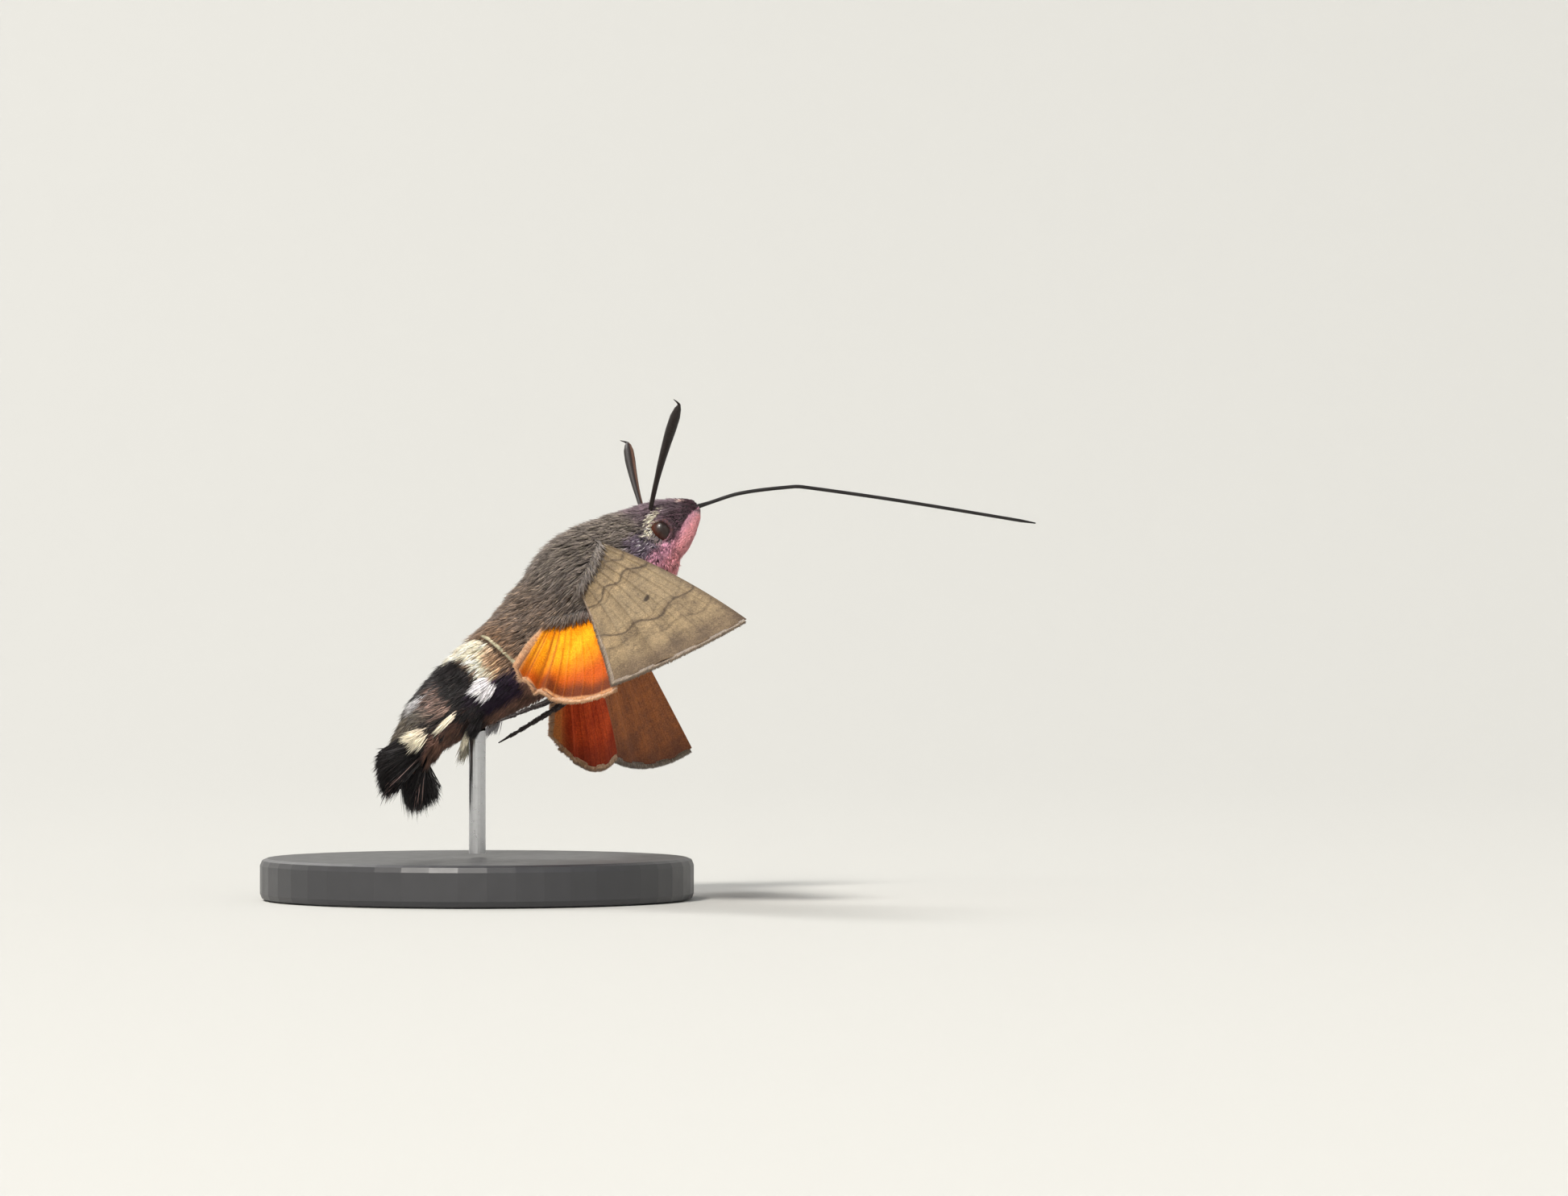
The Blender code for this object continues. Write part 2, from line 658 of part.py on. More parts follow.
make_head()
add_mesh("thorax", loft("thorax", body_rings(HEAD_END + GAP, THORAX_END, THORAX_RINGS)), MOTH, "fur", POSE)
make_abdomen()
make_tail_fan()
make_palps()
make_tongue()
for wing_side in SIDES:
    front_root, rear_root = ((x, SIDES[wing_side] * y, z) for x, y, z in (FOREWING_ROOT, HINDWING_ROOT))
    wing(f"forewing_{wing_side}", FOREWING, front_root, FOREWING_REACH[wing_side], "forewing")
    wing(f"hindwing_{wing_side}", HINDWING, rear_root, HINDWING_REACH[wing_side], "hindwing")
    make_feeler(wing_side)
    for pair, leg_stations in LEG_ROOTS.items():
        leg_ends = HIND_LEG_ENDS[wing_side] if pair == "hind" else ()
        make_leg(f"leg_{pair}_{wing_side}", wing_side, leg_stations, leg_ends)
make_stand()
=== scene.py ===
"""The looks of the hummingbird hawk moth: skin, fur, wings, feelers, legs and stand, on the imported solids."""

import math
from collections import namedtuple

import bmesh
import bpy
import numpy as np
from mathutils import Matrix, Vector, kdtree


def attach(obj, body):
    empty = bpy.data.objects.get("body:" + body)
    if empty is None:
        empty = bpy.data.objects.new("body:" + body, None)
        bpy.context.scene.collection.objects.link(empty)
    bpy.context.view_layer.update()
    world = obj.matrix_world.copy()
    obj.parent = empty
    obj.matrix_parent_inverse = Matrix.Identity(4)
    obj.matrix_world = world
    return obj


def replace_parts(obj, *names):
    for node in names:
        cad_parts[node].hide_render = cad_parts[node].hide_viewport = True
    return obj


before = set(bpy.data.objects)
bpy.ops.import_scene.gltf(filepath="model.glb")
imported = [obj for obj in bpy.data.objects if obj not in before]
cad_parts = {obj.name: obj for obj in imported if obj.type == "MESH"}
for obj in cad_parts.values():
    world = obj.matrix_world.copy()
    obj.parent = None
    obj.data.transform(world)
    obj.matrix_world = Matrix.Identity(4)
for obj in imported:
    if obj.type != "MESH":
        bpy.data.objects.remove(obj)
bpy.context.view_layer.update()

# The moth's own frame is in mm, banked, with its origin here in the part's frame.
MM = 0.001
BANK = math.radians(13)
MOTH_ORIGIN = np.array((5.7, 1.4, 18.2))
SIDES = {"right": -1, "left": 1}

# The body's stations, as in the solids: forward, up, half width, half depth, in mm in the moth's own frame.
BODY_STATIONS = (
    (10.4, 10.35, 0.42, 0.44),
    (9.4, 9.7, 1.18, 1.27),
    (8.25, 8.93, 1.87, 2.02),
    (7.25, 8.1, 2.15, 2.65),
    (6.2, 7.1, 2.9, 3.4),
    (3.05, 4.2, 4.3, 4.75),
    (0.0, 1.4, 3.9, 4.05),
    (-2.45, -0.7, 3.9, 3.5),
    (-5.35, -2.8, 3.8, 3.0),
    (-8.4, -5.2, 3.0, 2.3),
    (-9.9, -6.9, 2.1, 1.6),
)

# At each distance from the nose: the coat's depth over the skin, and its hairs' length and width, all in mm.
COAT_DEPTH = (
    (0, 0.12), (1.5, 0.22), (3.5, 0.32), (6, 0.5), (9, 0.6), (13, 0.6), (18, 0.55), (24, 0.55), (27, 0.5),
)
HAIR_LENGTH = (
    (0, 0.35), (1, 0.42), (2.5, 0.55), (4.5, 0.85), (7, 1.15), (11, 1.3), (16, 1.25), (22, 1.5), (27, 1.9),
)
HAIR_WIDTH = ((0, 0.06), (3, 0.07), (7, 0.085), (27, 0.095))
# A hair's thickness as a share of its width, and how many hairs each coat has.
HAIR_FLATNESS = 0.4
BODY_HAIRS = 92000
PALP_HAIRS = 5600
RING_HAIRS = 1100
RIM_HAIRS = 900
WING_ROOT_HAIRS = 900
LEG_SCALES = 700
FAN_LOCKS = 1400
FAN_HAIRS = 4600
# The share of hairs that stand up out of the coat, and how hairs draw together into locks.
STRAY_HAIRS = 0.03
HAIRS_IN_A_LOCK = 18
LOCK_PULL = (0.3, 0.85)

# How far along a tuft its rings of corners lie, and how wide it is there.
FINE_RINGS = ((0.0, 0.9), (0.55, 0.85))
LONG_RINGS = ((0.0, 0.9), (0.36, 1.0), (0.74, 0.7))
# A coat with more triangles than this is split into pieces.
MOST_TRIANGLES = 190000
# On the bake map: half the size of a tuft's patch, and the margin.
PATCH = 0.0014
UV_MARGIN = 0.02

# The left eye, and how near to its middle line no hair may lie over it, in mm.
EYE_CENTRE = np.array((7.6, 1.35, 8.1))
EYE_RADIUS = 0.92
EYE_OPENING = 0.62
# The rim's hairs: their roots, bends and tips, in degrees from the eye's middle, how high they stand over it,
# how far they lean in under the brow, and how much of their swerve they take.
EYE_RIM = ((62, 95, 0.0, 0, 0), (52, 66, 0.12, 5, 0.4), (42, 58, 0.06, 9, 1))

# The left palp's stations: forward, sideways, up, half width, half depth. Then its coat's depth.
PALP_STATIONS = (
    (8.15, 0.82, 6.55, 0.45, 0.45),
    (8.8, 0.84, 7.25, 0.66, 0.72),
    (9.5, 0.82, 8.35, 0.66, 0.70),
    (10.05, 0.74, 9.2, 0.52, 0.46),
    (10.3, 0.66, 9.6, 0.22, 0.22),
)
PALP_COAT = 0.16
# The direction of the palp's half depth.
PALP_TILT = np.array((0.83, 0, -0.55))

# The tongue's path forward and up, and the feelers' roots, tips and bow, in mm.
TONGUE_STATIONS = (
    (9.7, 10.0), (11.0, 10.42), (13.45, 11.2), (17.35, 11.7), (18.25, 11.65), (25.1, 10.65), (34.9, 9.0),
)
FEELER_ROOT = (6.75, 0.85, 9.1)
FEELER_TIP = {"right": (8.55, -7.9, 15.7), "left": (5.85, 7.1, 16.7)}
FEELER_BOW = 0.7
# How thick the feelers are from root to tip, and on to the end of the hook, which is past 1.
FEELER_GIRTH = (
    (0, 0.26), (0.02, 0.15), (0.35, 0.2), (0.78, 0.37), (0.9, 0.36), (0.97, 0.24), (1.0, 0.12), (1.06, 0.02),
)

# Each wing in its own plane, in mm: its front edge, rear edge and outer margin as curves, and its main veins'
# places across it. Then its curves out of that plane, its root, where its tip and rear corner lie on each side
# in the moth's frame, its grid, how far out it has left the body, and the number of its fringe's scales.
WINGS = {
    "forewing": {
        "costa": ((-0.9, -0.8), (10.5, -1.1), (20.4, 0.0)),
        "inner": ((-0.9, 2.5), (5.6, 4.6), (11.9, 8.1)),
        "margin": ((20.4, 0.0), (19.2, 4.6), (11.9, 8.1)),
        "veins": (0.09, 0.22, 0.36, 0.50, 0.65, 0.83),
        "camber": 0.7,
        "droop": -0.9,
        "pleat": 0.0,
        "root": (2.9, 3.6, 5.9),
        "right": ((11.45, -20.2, -2.2), (3.3, -12.6, -5.5)),
        "left": ((10.4, 20.1, -3.2), (4.5, 12.6, -5.4)),
        "columns": 112,
        "rows": 170,
        "leaves_body_by": 0.4,
        "outer_scales": 3100,
        "rear_scales": 1500,
    },
    "hindwing": {
        "costa": ((-1.2, -0.4), (5.0, -1.7), (11.0, -0.2)),
        "inner": ((-0.9, 1.5), (1.9, 3.7), (5.6, 6.0)),
        "margin": ((11.0, -0.2), (10.3, 4.6), (5.6, 6.0)),
        "veins": (0.14, 0.32, 0.5, 0.68, 0.86),
        "camber": -0.9,
        "droop": 0.0,
        "pleat": 0.2,
        "root": (1.5, 3.5, 1.6),
        "right": ((3.75, -11.7, -5.65), (-3.2, -7.7, -3.6)),
        "left": ((5.0, 11.2, -5.6), (0.2, 7.4, -5.2)),
        "columns": 120,
        "rows": 110,
        "leaves_body_by": 0.55,
        "outer_scales": 2800,
        "rear_scales": 1700,
    },
}
# A wing's root hair begins this near to the coat's surface, as a share of the way out from the body's middle.
ROOT_SHARE = 0.93
# Half the membrane's thickness in mm, what veins and root add to it, and the share of it left at the edge.
MEMBRANE = {"thin": 0.045, "vein": 0.075, "root": 0.10, "edge": 0.25}
# The forewing's dark lines: how far out from the root, how broad and how dark.
FOREWING_LINES = (
    (0.14, 0.010, 0.6),
    (0.315, 0.009, 0.8),
    (0.345, 0.006, 0.5),
    (0.60, 0.006, 0.45),
    (0.64, 0.009, 0.8),
    (0.76, 0.008, 0.35),
)
# The dot's place in the forewing's plane, in mm.
FOREWING_DOT = (9.6, 1.7)
# From the hindwing's front edge to its rear one: how its folds rise and fall, and how dark the painted shade in
# their creases is.
PLEAT_SHAPE = ((0.59, 0), (0.655, 1), (0.705, 1), (0.77, -1), (0.835, 1), (0.885, 1), (0.94, -1), (1, 1))
FOLD_SHADE = (
    (0.56, 0), (0.585, 0.6), (0.6, 0), (0.66, 0), (0.69, 0.9), (0.71, 0.1), (0.755, 0.2),
    (0.775, 1), (0.81, 0.1), (0.865, 0.1), (0.885, 0.9), (0.91, 0.2), (0.935, 1), (0.96, 0.3),
)

# The legs' bent parts along the body: mm from the nose, degrees round from the back, lift off it and radius.
LEG_ROOTS = {
    "front": ((6.4, 166, -0.9, 0.34), (6.6, 158, 0.85, 0.34), (9.0, 148, 0.75, 0.28), (11.2, 146, 0.7, 0.25)),
    "middle": ((9.2, 160, -0.9, 0.36), (9.0, 132, 0.9, 0.36), (11.6, 126, 0.8, 0.30), (14.2, 128, 0.8, 0.25)),
    "hind": ((11.6, 156, -0.9, 0.38), (12.4, 150, 0.85, 0.36)),
}
HIND_LEG_ENDS = {
    "right": ((-0.3, 2.0, -4.35, 0.33), (-2.1, 2.0, -5.15, 0.28), (-4.4, 2.0, -6.1, 0.22)),
    "left": ((0.5, 2.1, -3.9, 0.33), (-1.6, 2.1, -5.25, 0.28), (-4.1, 2.1, -6.75, 0.22)),
}
# A leg's rings, the corners of each, and how far along it its joints lie.
LEG_ROWS = 160
LEG_SIDES = 16
LEG_JOINTS = (0.36, 0.62, 0.78, 0.86, 0.93)

# The tail fan: how it leans and twists, its length, half width and core in mm, and as shares of its half width
# the cleft in its middle and the place of its longest hairs. The last number says how round its end is.
FAN_LEAN = math.radians(13)
FAN_TWIST = math.radians(32)
FAN_LENGTH = 5.0
FAN_HALF_WIDTH = 4.3
FAN_CORE = 2.4
FAN_CLEFT = 0.13
FAN_LONGEST = 0.42
FAN_ROUND = 0.9
# The fan's core from its root to its end, as shares of the abdomen's last station.
FAN_WIDTHS = ((0, 1.0), (0.35, 1.02), (0.7, 0.98), (1, 0.8))
FAN_DEPTHS = ((0, 1.0), (0.35, 0.84), (0.7, 0.62), (1, 0.4))

# The brushes of the abdomen's sides. Each row: mm from the nose, degrees round from the back, hairs, length,
# lift, the span it fans over in degrees below the tailward direction, and the colours of its roots and tips.
BRUSHES = {
    "right": (
        (20.15, 107, 460, 2.5, 0.42, (-22, 24), "white", "white"),
        (21.6, 126, 260, 1.8, 0.3, (-8, 34), "black", "black"),
        (22.6, 122, 240, 1.8, 0.3, (-12, 24), "black", "black"),
        (23.4, 116, 190, 2.8, 0.55, (-10, -6), "rose_cream", "cream"),
        (24.9, 124, 260, 1.8, 0.3, (-14, 26), "black", "black"),
        (26.05, 103, 460, 2.85, 1.0, (-44, -12), "rose_cream", "cream"),
        (22.3, 148, 620, 2.1, 0.6, (0, 44), "black", "black"),
        (23.1, 154, 130, 2.7, 0.6, (26, 32), "black", "cream"),
    ),
    "left": (
        (20.4, 141, 420, 2.3, 0.8, (-12, 32), "white", "white"),
        (22.0, 143, 560, 2.6, 0.7, (4, 50), "black", "black"),
        (22.9, 145, 240, 3.1, 0.8, (14, 34), "black", "cream"),
        (24.9, 134, 260, 1.8, 0.35, (-14, 26), "black", "black"),
        (26.05, 103, 460, 2.85, 1.0, (-44, -12), "rose_cream", "cream"),
    ),
}
# A brush's hairs gather in so many teeth. From so many degrees of span on it spreads its roots fully.
TEETH = 5
FULL_SPAN = 30
# Where the pale fringe crosses the abdomen's sides: degrees from the back, then mm from the nose.
RING = ((40, 19.05), (58, 18.95), (80, 18.8), (108, 18.5), (130, 18.35))

# The coat's areas, later ones over earlier ones: ink, strength, then where each fades in and out along the
# body in mm from the nose and round it in degrees from the back, and over which tones of hair it fades in.
FRONT_AREAS = (
    # The chest's pink is painted reflected pink light, and its darkening rearward under the body is painted
    # shade.
    ("chest", 1.0, (4.5, 7.5), None, (104, 128), None, None),
    ("crown", 1.0, None, (4.4, 5.6), None, None, None),
    # The shoulder's violet-grey with a few white hairs is painted sheen and highlight on grey hair.
    ("shoulder_sheen", 0.8, (4.9, 5.5), (6.7, 7.6), (74, 84), (108, 116), None),
)
REAR_AREAS = (
    # The belly's brown is darker than its own pale hair: painted shade under the body.
    ("belly", 1.0, (12.5, 15), None, (118, 142), None, None),
    ("rear", 1.0, (21.0, 21.6), None, None, (120, 132), None),
    ("side", 1.0, (18.7, 19.1), (22.6, 23.4), (103, 110), (144, 158), None),
    ("under", 0.9, (21.8, 22.4), (23.8, 24.6), (128, 140), None, None),
    ("late", 0.9, (23.7, 24.5), (25.3, 26.2), (36, 52), (102, 114), (0.15, 0.45)),
    ("last", 0.85, (25.2, 26.2), None, None, (94, 108), None),
)
# Small pale spots: ink, strength, mm from the nose and half length, degrees from the back and half width,
# how soft their edges are, and the darkest tone of hair that they colour. The fleck is a white mark on the
# abdomen; the glint is a painted highlight on the crown.
SPOTS = (
    ("fleck", 0.95, 25.5, 0.75, 41, 19, 0.3, 0.08),
    ("glint", 0.8, 1.3, 0.35, 42, 14, 0.4, 0.3),
)
# The streak behind the eye fades in and out between these degrees from the back.
STREAK_SPAN = ((54, 60), (86, 94))


def srgb(*values):
    """A colour given as it looks on a screen, from 0 to 255, as linear light."""
    share = np.array(values) / 255
    return np.where(share <= 0.04045, share / 12.92, ((share + 0.055) / 1.055) ** 2.4)


def ink_table(**colours):
    return {name: srgb(*values) for name, values in colours.items()}


INK = ink_table(
    dark=(62, 53, 51),
    grey=(118, 108, 104),
    light=(152, 142, 124),
    crown=(116, 98, 108),
    beak=(70, 46, 56),
    violet_grey=(104, 90, 112),
    # pink and lilac are painted reflected pink light over pale hair, on palps and throat.
    pink=(222, 148, 152),
    lilac=(194, 142, 166),
    pale_pink=(236, 198, 190),
    rose_cream=(236, 204, 190),
    # chest: pinkish as painted reflected pink light.
    chest=(184, 136, 124),
    brown=(128, 106, 90),
    tan=(176, 138, 106),
    cream=(252, 242, 218),
    peach=(232, 190, 152),
    white=(250, 247, 252),
    black=(30, 25, 28),
    violet=(44, 28, 50),
    # The belly's brown, darker than its pale hair, is painted shade under the body.
    belly=(142, 106, 90),
    rose_grey=(176, 144, 134),
    ring=(206, 200, 170),
    rim=(104, 58, 46),
    tongue=(18, 14, 13),
    feeler=(28, 20, 18),
    feeler_face=(124, 88, 72),
    leg=(44, 35, 34),
    eye=(70, 36, 26),
    eye_middle=(30, 17, 13),
    eye_edge=(112, 62, 44),
)
# A fringe's scales lie between these two colours.
FRINGE_INK = {
    "forewing": (srgb(112, 96, 84), srgb(158, 142, 122)),
    "hindwing": (srgb(186, 134, 96), srgb(222, 182, 144)),
}
WING_INK = {
    "forewing": ink_table(
        light=(150, 130, 100),
        dark=(92, 79, 64),
        root=(104, 92, 74),
        line=(52, 42, 38),
        band=(134, 120, 98),
        margin=(76, 62, 54),
        front=(80, 66, 56),
        dot=(36, 29, 28),
        vein=(74, 62, 52),
        under=(172, 104, 60),
        under_far=(122, 78, 56),
        under_root=(204, 118, 50),
        under_margin=(84, 54, 44),
        under_vein=(84, 48, 36),
    ),
    "hindwing": ink_table(
        light=(242, 168, 30),
        dark=(228, 134, 14),
        rust=(176, 74, 16),
        band=(92, 42, 18),
        margin=(190, 140, 100),
        # The fold ink is painted shade in the creases of the folds.
        fold=(122, 60, 18),
        rear=(206, 150, 92),
        root=(120, 84, 60),
        vein=(196, 104, 24),
        under=(196, 76, 36),
        under_dark=(154, 52, 28),
        under_margin=(104, 44, 32),
        under_rear=(206, 134, 70),
        under_vein=(112, 36, 24),
    ),
}
# The stand's finishes: node, name, colour, roughness, how metallic, and the grain's fineness.
STAND_FINISHES = (
    ("stand_base", "base_paint", srgb(52, 52, 55), 0.42, 0.0, 900),
    ("stand_rod", "rod_steel", srgb(186, 187, 190), 0.28, 1.0, 2600),
)
# The floor's flat middle and the radius of its sweep, and the lamps' places and sizes, all in metres.
FLOOR_FLAT = 0.3
FLOOR_SWEEP = 1.6
FLOOR_COLOUR = (0.52, 0.52, 0.5, 1)
SKY_COLOUR = (0.9, 0.93, 1.0, 1)
LAMP_AIM = Vector((0.005, 0, 0.018))
LAMPS = (
    ("key", (-0.75, -1.45, 1.65), 0.5, 58.0, (1.0, 0.96, 0.9)),
    ("fill", (1.2, -1.5, 0.9), 1.2, 9.0, (0.94, 0.97, 1.0)),
    ("rim", (-0.9, 1.4, 1.6), 0.8, 30.0, (1.0, 0.98, 0.95)),
)
# The photo's view: how far round from the moth's side, and in mm its middle, its distance and its width.
CAMERA_YAW = math.radians(5)
CAMERA_MIDDLE = (16.36, 3.35)
CAMERA_DISTANCE = 500.0
FRAME_WIDTH = 112.49
SENSOR_WIDTH = 36

# Tufts as arrays: places, outward directions, sizes, the colours of roots and tips, and places on the bake map.
# The roots' darker colour is painted shade deep in the coat.
Tufts = namedtuple("Tufts", "root bend tip normal width thick dark light uv")


def unit(vectors):
    return vectors / np.maximum(np.linalg.norm(vectors, axis=-1, keepdims=True), 1e-9)


EYE_OUTWARD = unit(np.array((-0.1, 0.97, -0.2)))
EYE_HOOD = unit(np.array((0.7, 0, 0.75)))


def ease(value, low, high):
    """0 below low, 1 above high, and a soft step between them."""
    share = np.clip((value - low) / (high - low), 0, 1)
    return share * share * (3 - 2 * share)


def fade(value, low, high):
    """1 below low, 0 above high, and a soft step between them."""
    return 1 - ease(value, low, high)


def between(value, rise, fall=None):
    """1 from where value has risen to where it starts to fall, with soft steps. None is no edge."""
    share = ease(value, *rise) if rise else np.ones_like(value)
    return share * fade(value, *fall) if fall else share


def mix(first, second, share):
    share = np.asarray(share, float)[..., None]
    return first * (1 - share) + second * share


def layered(colour, *layers):
    """The colour with each layer's ink over it: layers are pairs of a share and an ink."""
    for share, ink in layers:
        colour = mix(colour, ink, share)
    return colour


def ripple(points, size, seed):
    """Smooth noise, about -1 to 1, with features about size across."""
    draw = np.random.default_rng(seed)
    total = 0
    waves = 14
    for _ in range(waves):
        way = unit(draw.normal(size=points.shape[-1])) * math.tau / size * draw.uniform(0.5, 1.3)
        total = total + np.sin(points @ way + draw.uniform(0, math.tau))
    return total / math.sqrt(waves)


def along_table(table, at):
    xs, ys = zip(*table)
    return np.interp(at, xs, ys)


def smooth_rows(rows, at):
    """Values at distance at on a smooth curve through rows of a distance followed by values."""
    rows = np.asarray(rows, float)
    at = np.asarray(at, float)
    distance, values = rows[:, 0], rows[:, 1:]
    slope = np.empty_like(values)
    slope[1:-1] = (values[2:] - values[:-2]) / (distance[2:] - distance[:-2])[:, None]
    slope[0] = (values[1] - values[0]) / (distance[1] - distance[0])
    slope[-1] = (values[-1] - values[-2]) / (distance[-1] - distance[-2])
    low = np.clip(np.searchsorted(distance, at, side="right") - 1, 0, len(distance) - 2)
    span = (distance[low + 1] - distance[low])[..., None]
    t = (at - distance[low])[..., None] / span
    return (
        (2 * t**3 - 3 * t**2 + 1) * values[low]
        + (t**3 - 2 * t**2 + t) * span * slope[low]
        + (3 * t**2 - 2 * t**3) * values[low + 1]
        + (t**3 - t**2) * span * slope[low + 1]
    )


def by_distance(stations, axes):
    """Stations with their distance along the path put before them. Their first axes values are places."""
    stations = np.asarray(stations, float)
    gaps = np.linalg.norm(np.diff(stations[:, :axes], axis=0), axis=1)
    return np.column_stack((np.concatenate(((0,), np.cumsum(gaps))), stations))


BODY = by_distance(BODY_STATIONS, 2)
TAIL_ROOT = BODY[-1, 0]


def moved(places, *steps):
    """The places after each step, which is a direction and how far to go that way."""
    for way, distance in steps:
        places = places + way * np.asarray(distance)[..., None]
    return places


def swung(first, second, angle):
    """The direction that lies angle round from the first towards the second."""
    return first * np.cos(angle)[..., None] + second * np.sin(angle)[..., None]


def square_to(ways, axis):
    """The ways without their part along the axis."""
    return ways - axis * np.sum(ways * axis, -1)[..., None]


def to_world(points):
    """From mm in the moth's frame to metres in the part's."""
    x, y, z = np.moveaxis(np.asarray(points, float), -1, 0)
    cos, sin = math.cos(BANK), math.sin(BANK)
    return (np.stack((x, y * cos + z * sin, z * cos - y * sin), -1) + MOTH_ORIGIN) * MM


def from_world(points):
    """From metres in the part's frame to mm in the moth's."""
    x, y, z = (points.astype(float) / MM - MOTH_ORIGIN).T
    cos, sin = math.cos(BANK), math.sin(BANK)
    return np.stack((x, y * cos - z * sin, y * sin + z * cos), -1)


def body_frame(s):
    """The body s mm from the nose: middle, tailward and upward directions, half width and half depth."""
    s = np.asarray(s, float)
    x, z, half_width, half_depth = np.moveaxis(smooth_rows(BODY, s), -1, 0)
    way = smooth_rows(BODY, s + 0.2) - smooth_rows(BODY, s - 0.2)
    zero = np.zeros_like(x)
    tailward = unit(np.stack((way[..., 0], zero, way[..., 1]), -1))
    upward = np.stack((tailward[..., 2], zero, -tailward[..., 0]), -1)
    return np.stack((x, zero, z), -1), tailward, upward, half_width, half_depth


def body_point(s, angle, lift=0.0):
    """A place on the solid body's surface, or lift mm off it, at an angle round from the back."""
    centre, _, upward, half_width, half_depth = body_frame(s)
    place = moved(centre, (upward, np.cos(angle) * (half_depth + lift)))
    place[..., 1] += np.sin(angle) * (half_width + lift)
    return place


def skin_point(s, angle):
    return body_point(s, angle, -along_table(COAT_DEPTH, s))


def skin_frame(s, angle):
    """The skin's place, outward normal and tailward direction."""
    place = skin_point(s, angle)
    tailward = unit(skin_point(s + 0.06, angle) - skin_point(s - 0.06, angle))
    around = unit(skin_point(s, angle + 0.02) - skin_point(s, angle - 0.02))
    return place, unit(np.cross(around, tailward)), tailward


def locate(points):
    """How far from the nose, and how far round from the back, each point of the body lies."""
    steps = np.linspace(0, TAIL_ROOT + 2, 280)
    centre, _, upward, half_width, half_depth = body_frame(steps)
    near = np.empty(len(points), int)
    batch = 20000
    for start in range(0, len(points), batch):
        part = points[start : start + batch]
        gap = (part[:, None, 0] - centre[None, :, 0]) ** 2 + (part[:, None, 2] - centre[None, :, 2]) ** 2
        near[start : start + batch] = gap.argmin(1)
    rise = np.sum((points - centre[near]) * upward[near], -1) / half_depth[near]
    return steps[near], np.arctan2(points[:, 1] / half_width[near], rise)


def body_share(points):
    """How far out each point lies, as a share of the way from the body's middle to the coat's surface."""
    s, angle = locate(points)
    centre = body_frame(s)[0]
    return np.linalg.norm(points - centre, axis=1) / np.linalg.norm(body_point(s, angle) - centre, axis=1)


def ring_place(turn):
    return along_table(RING, turn)


def back_colour(s, turn, tone):
    """The grey of head and thorax, which warms to brown towards the waist, with painted shade along the lower
    sides from the wing roots back.
    """
    shadow = fade(tone, 0, 0.3)
    colour = mix(INK["grey"], INK["light"], 0.6 * ease(tone, 0.7, 1) + 0.12)
    # Darker along the lower sides from the wing roots back: painted shade below the wings.
    colour = mix(colour, INK["dark"], 0.55 * shadow + 0.35 * ease(turn, 62, 100) * ease(s, 7, 9))
    warm = mix(INK["brown"], INK["tan"], 0.6 * ease(tone, 0.5, 1) + 0.35 * ease(s, 17.2, 19))
    warm = mix(warm, INK["dark"], 0.7 * shadow)
    return mix(colour, warm, 0.5 * ease(s, 12, 15) + 0.5 * ease(s, 16, 18.4) * ease(turn, 10, 50))


def area_inks(s, turn, tone):
    """The inks of the coat's areas and spots, hair by hair."""
    shadow = fade(tone, 0, 0.3)
    cheek = between(turn, (66, 84)) * fade(s, 3.4, 4.2)
    crown = mix(INK["crown"], INK["grey"], 0.5 * ease(tone, 0.6, 1) + 0.35 * ease(s, 3.6, 5.2))
    return {
        # Chest: pinkish from painted reflected pink light, darkened rearward under the body as painted shade.
        "chest": mix(INK["chest"], INK["dark"], 0.5 * ease(s, 9, 14) + 0.2 * shadow),
        "crown": mix(crown, INK["beak"], np.maximum(fade(s, 0.7, 1.9), 0.85 * cheek)),
        # Painted sheen on the shoulder: violet-grey, with white hairs as painted highlights.
        "shoulder_sheen": mix(INK["violet_grey"], INK["white"], 0.5 * (tone > 0.93)),
        # The belly's brown is painted shade under the body over paler hair.
        "belly": mix(INK["belly"], INK["dark"], 0.6 * ease(tone, 0.5, 1)),
        "rear": mix(INK["black"], INK["dark"], 0.6 * ease(tone, 0.8, 1)),
        "side": INK["violet"],
        "under": INK["black"],
        "late": mix(INK["brown"], INK["rose_grey"], tone),
        "last": mix(INK["dark"], INK["light"], 0.85 * tone),
        "fleck": INK["white"] * 0.95,
        # The glint is a painted highlight on the crown.
        "glint": INK["pale_pink"],
    }


def add_areas(colour, areas, inks, s, turn, tone):
    for name, strength, s_rise, s_fall, turn_rise, turn_fall, tone_rise in areas:
        share = strength * between(s, s_rise, s_fall) * between(turn, turn_rise, turn_fall)
        colour = mix(colour, inks[name], share * between(tone, tone_rise))
    return colour


def add_face(colour, s, turn, tone):
    """The pale streak behind the eye with its dark edge, and the throat below the jaw, whose pale hair has
    painted reflected pink light.
    """
    stripe = 3.3 + (turn - 60) * 0.06
    streak = fade(np.abs(s - stripe), 0.39, 0.55) * between(turn, *STREAK_SPAN)
    edge = fade(np.abs(s - stripe - 0.75), 0.1, 0.3) * between(turn, *STREAK_SPAN)
    jaw = 107 + 14 * between(s, (0.9, 2.3), (3.7, 4.6))
    throat = ease(turn, jaw, jaw + 6) * fade(s, 6.8, 8.4)
    # Pink and lilac on the throat: painted reflected pink light over pale hair.
    throat_ink = mix(INK["lilac"], INK["pink"], ease(turn, 118, 150) * 0.8 + 0.2 * tone)
    return layered(
        colour,
        (0.92 * streak * (tone > 0.25), INK["cream"] * 0.85),
        (0.65 * edge, INK["black"]),
        (throat, throat_ink * (0.86 + 0.2 * tone)[:, None]),
    )


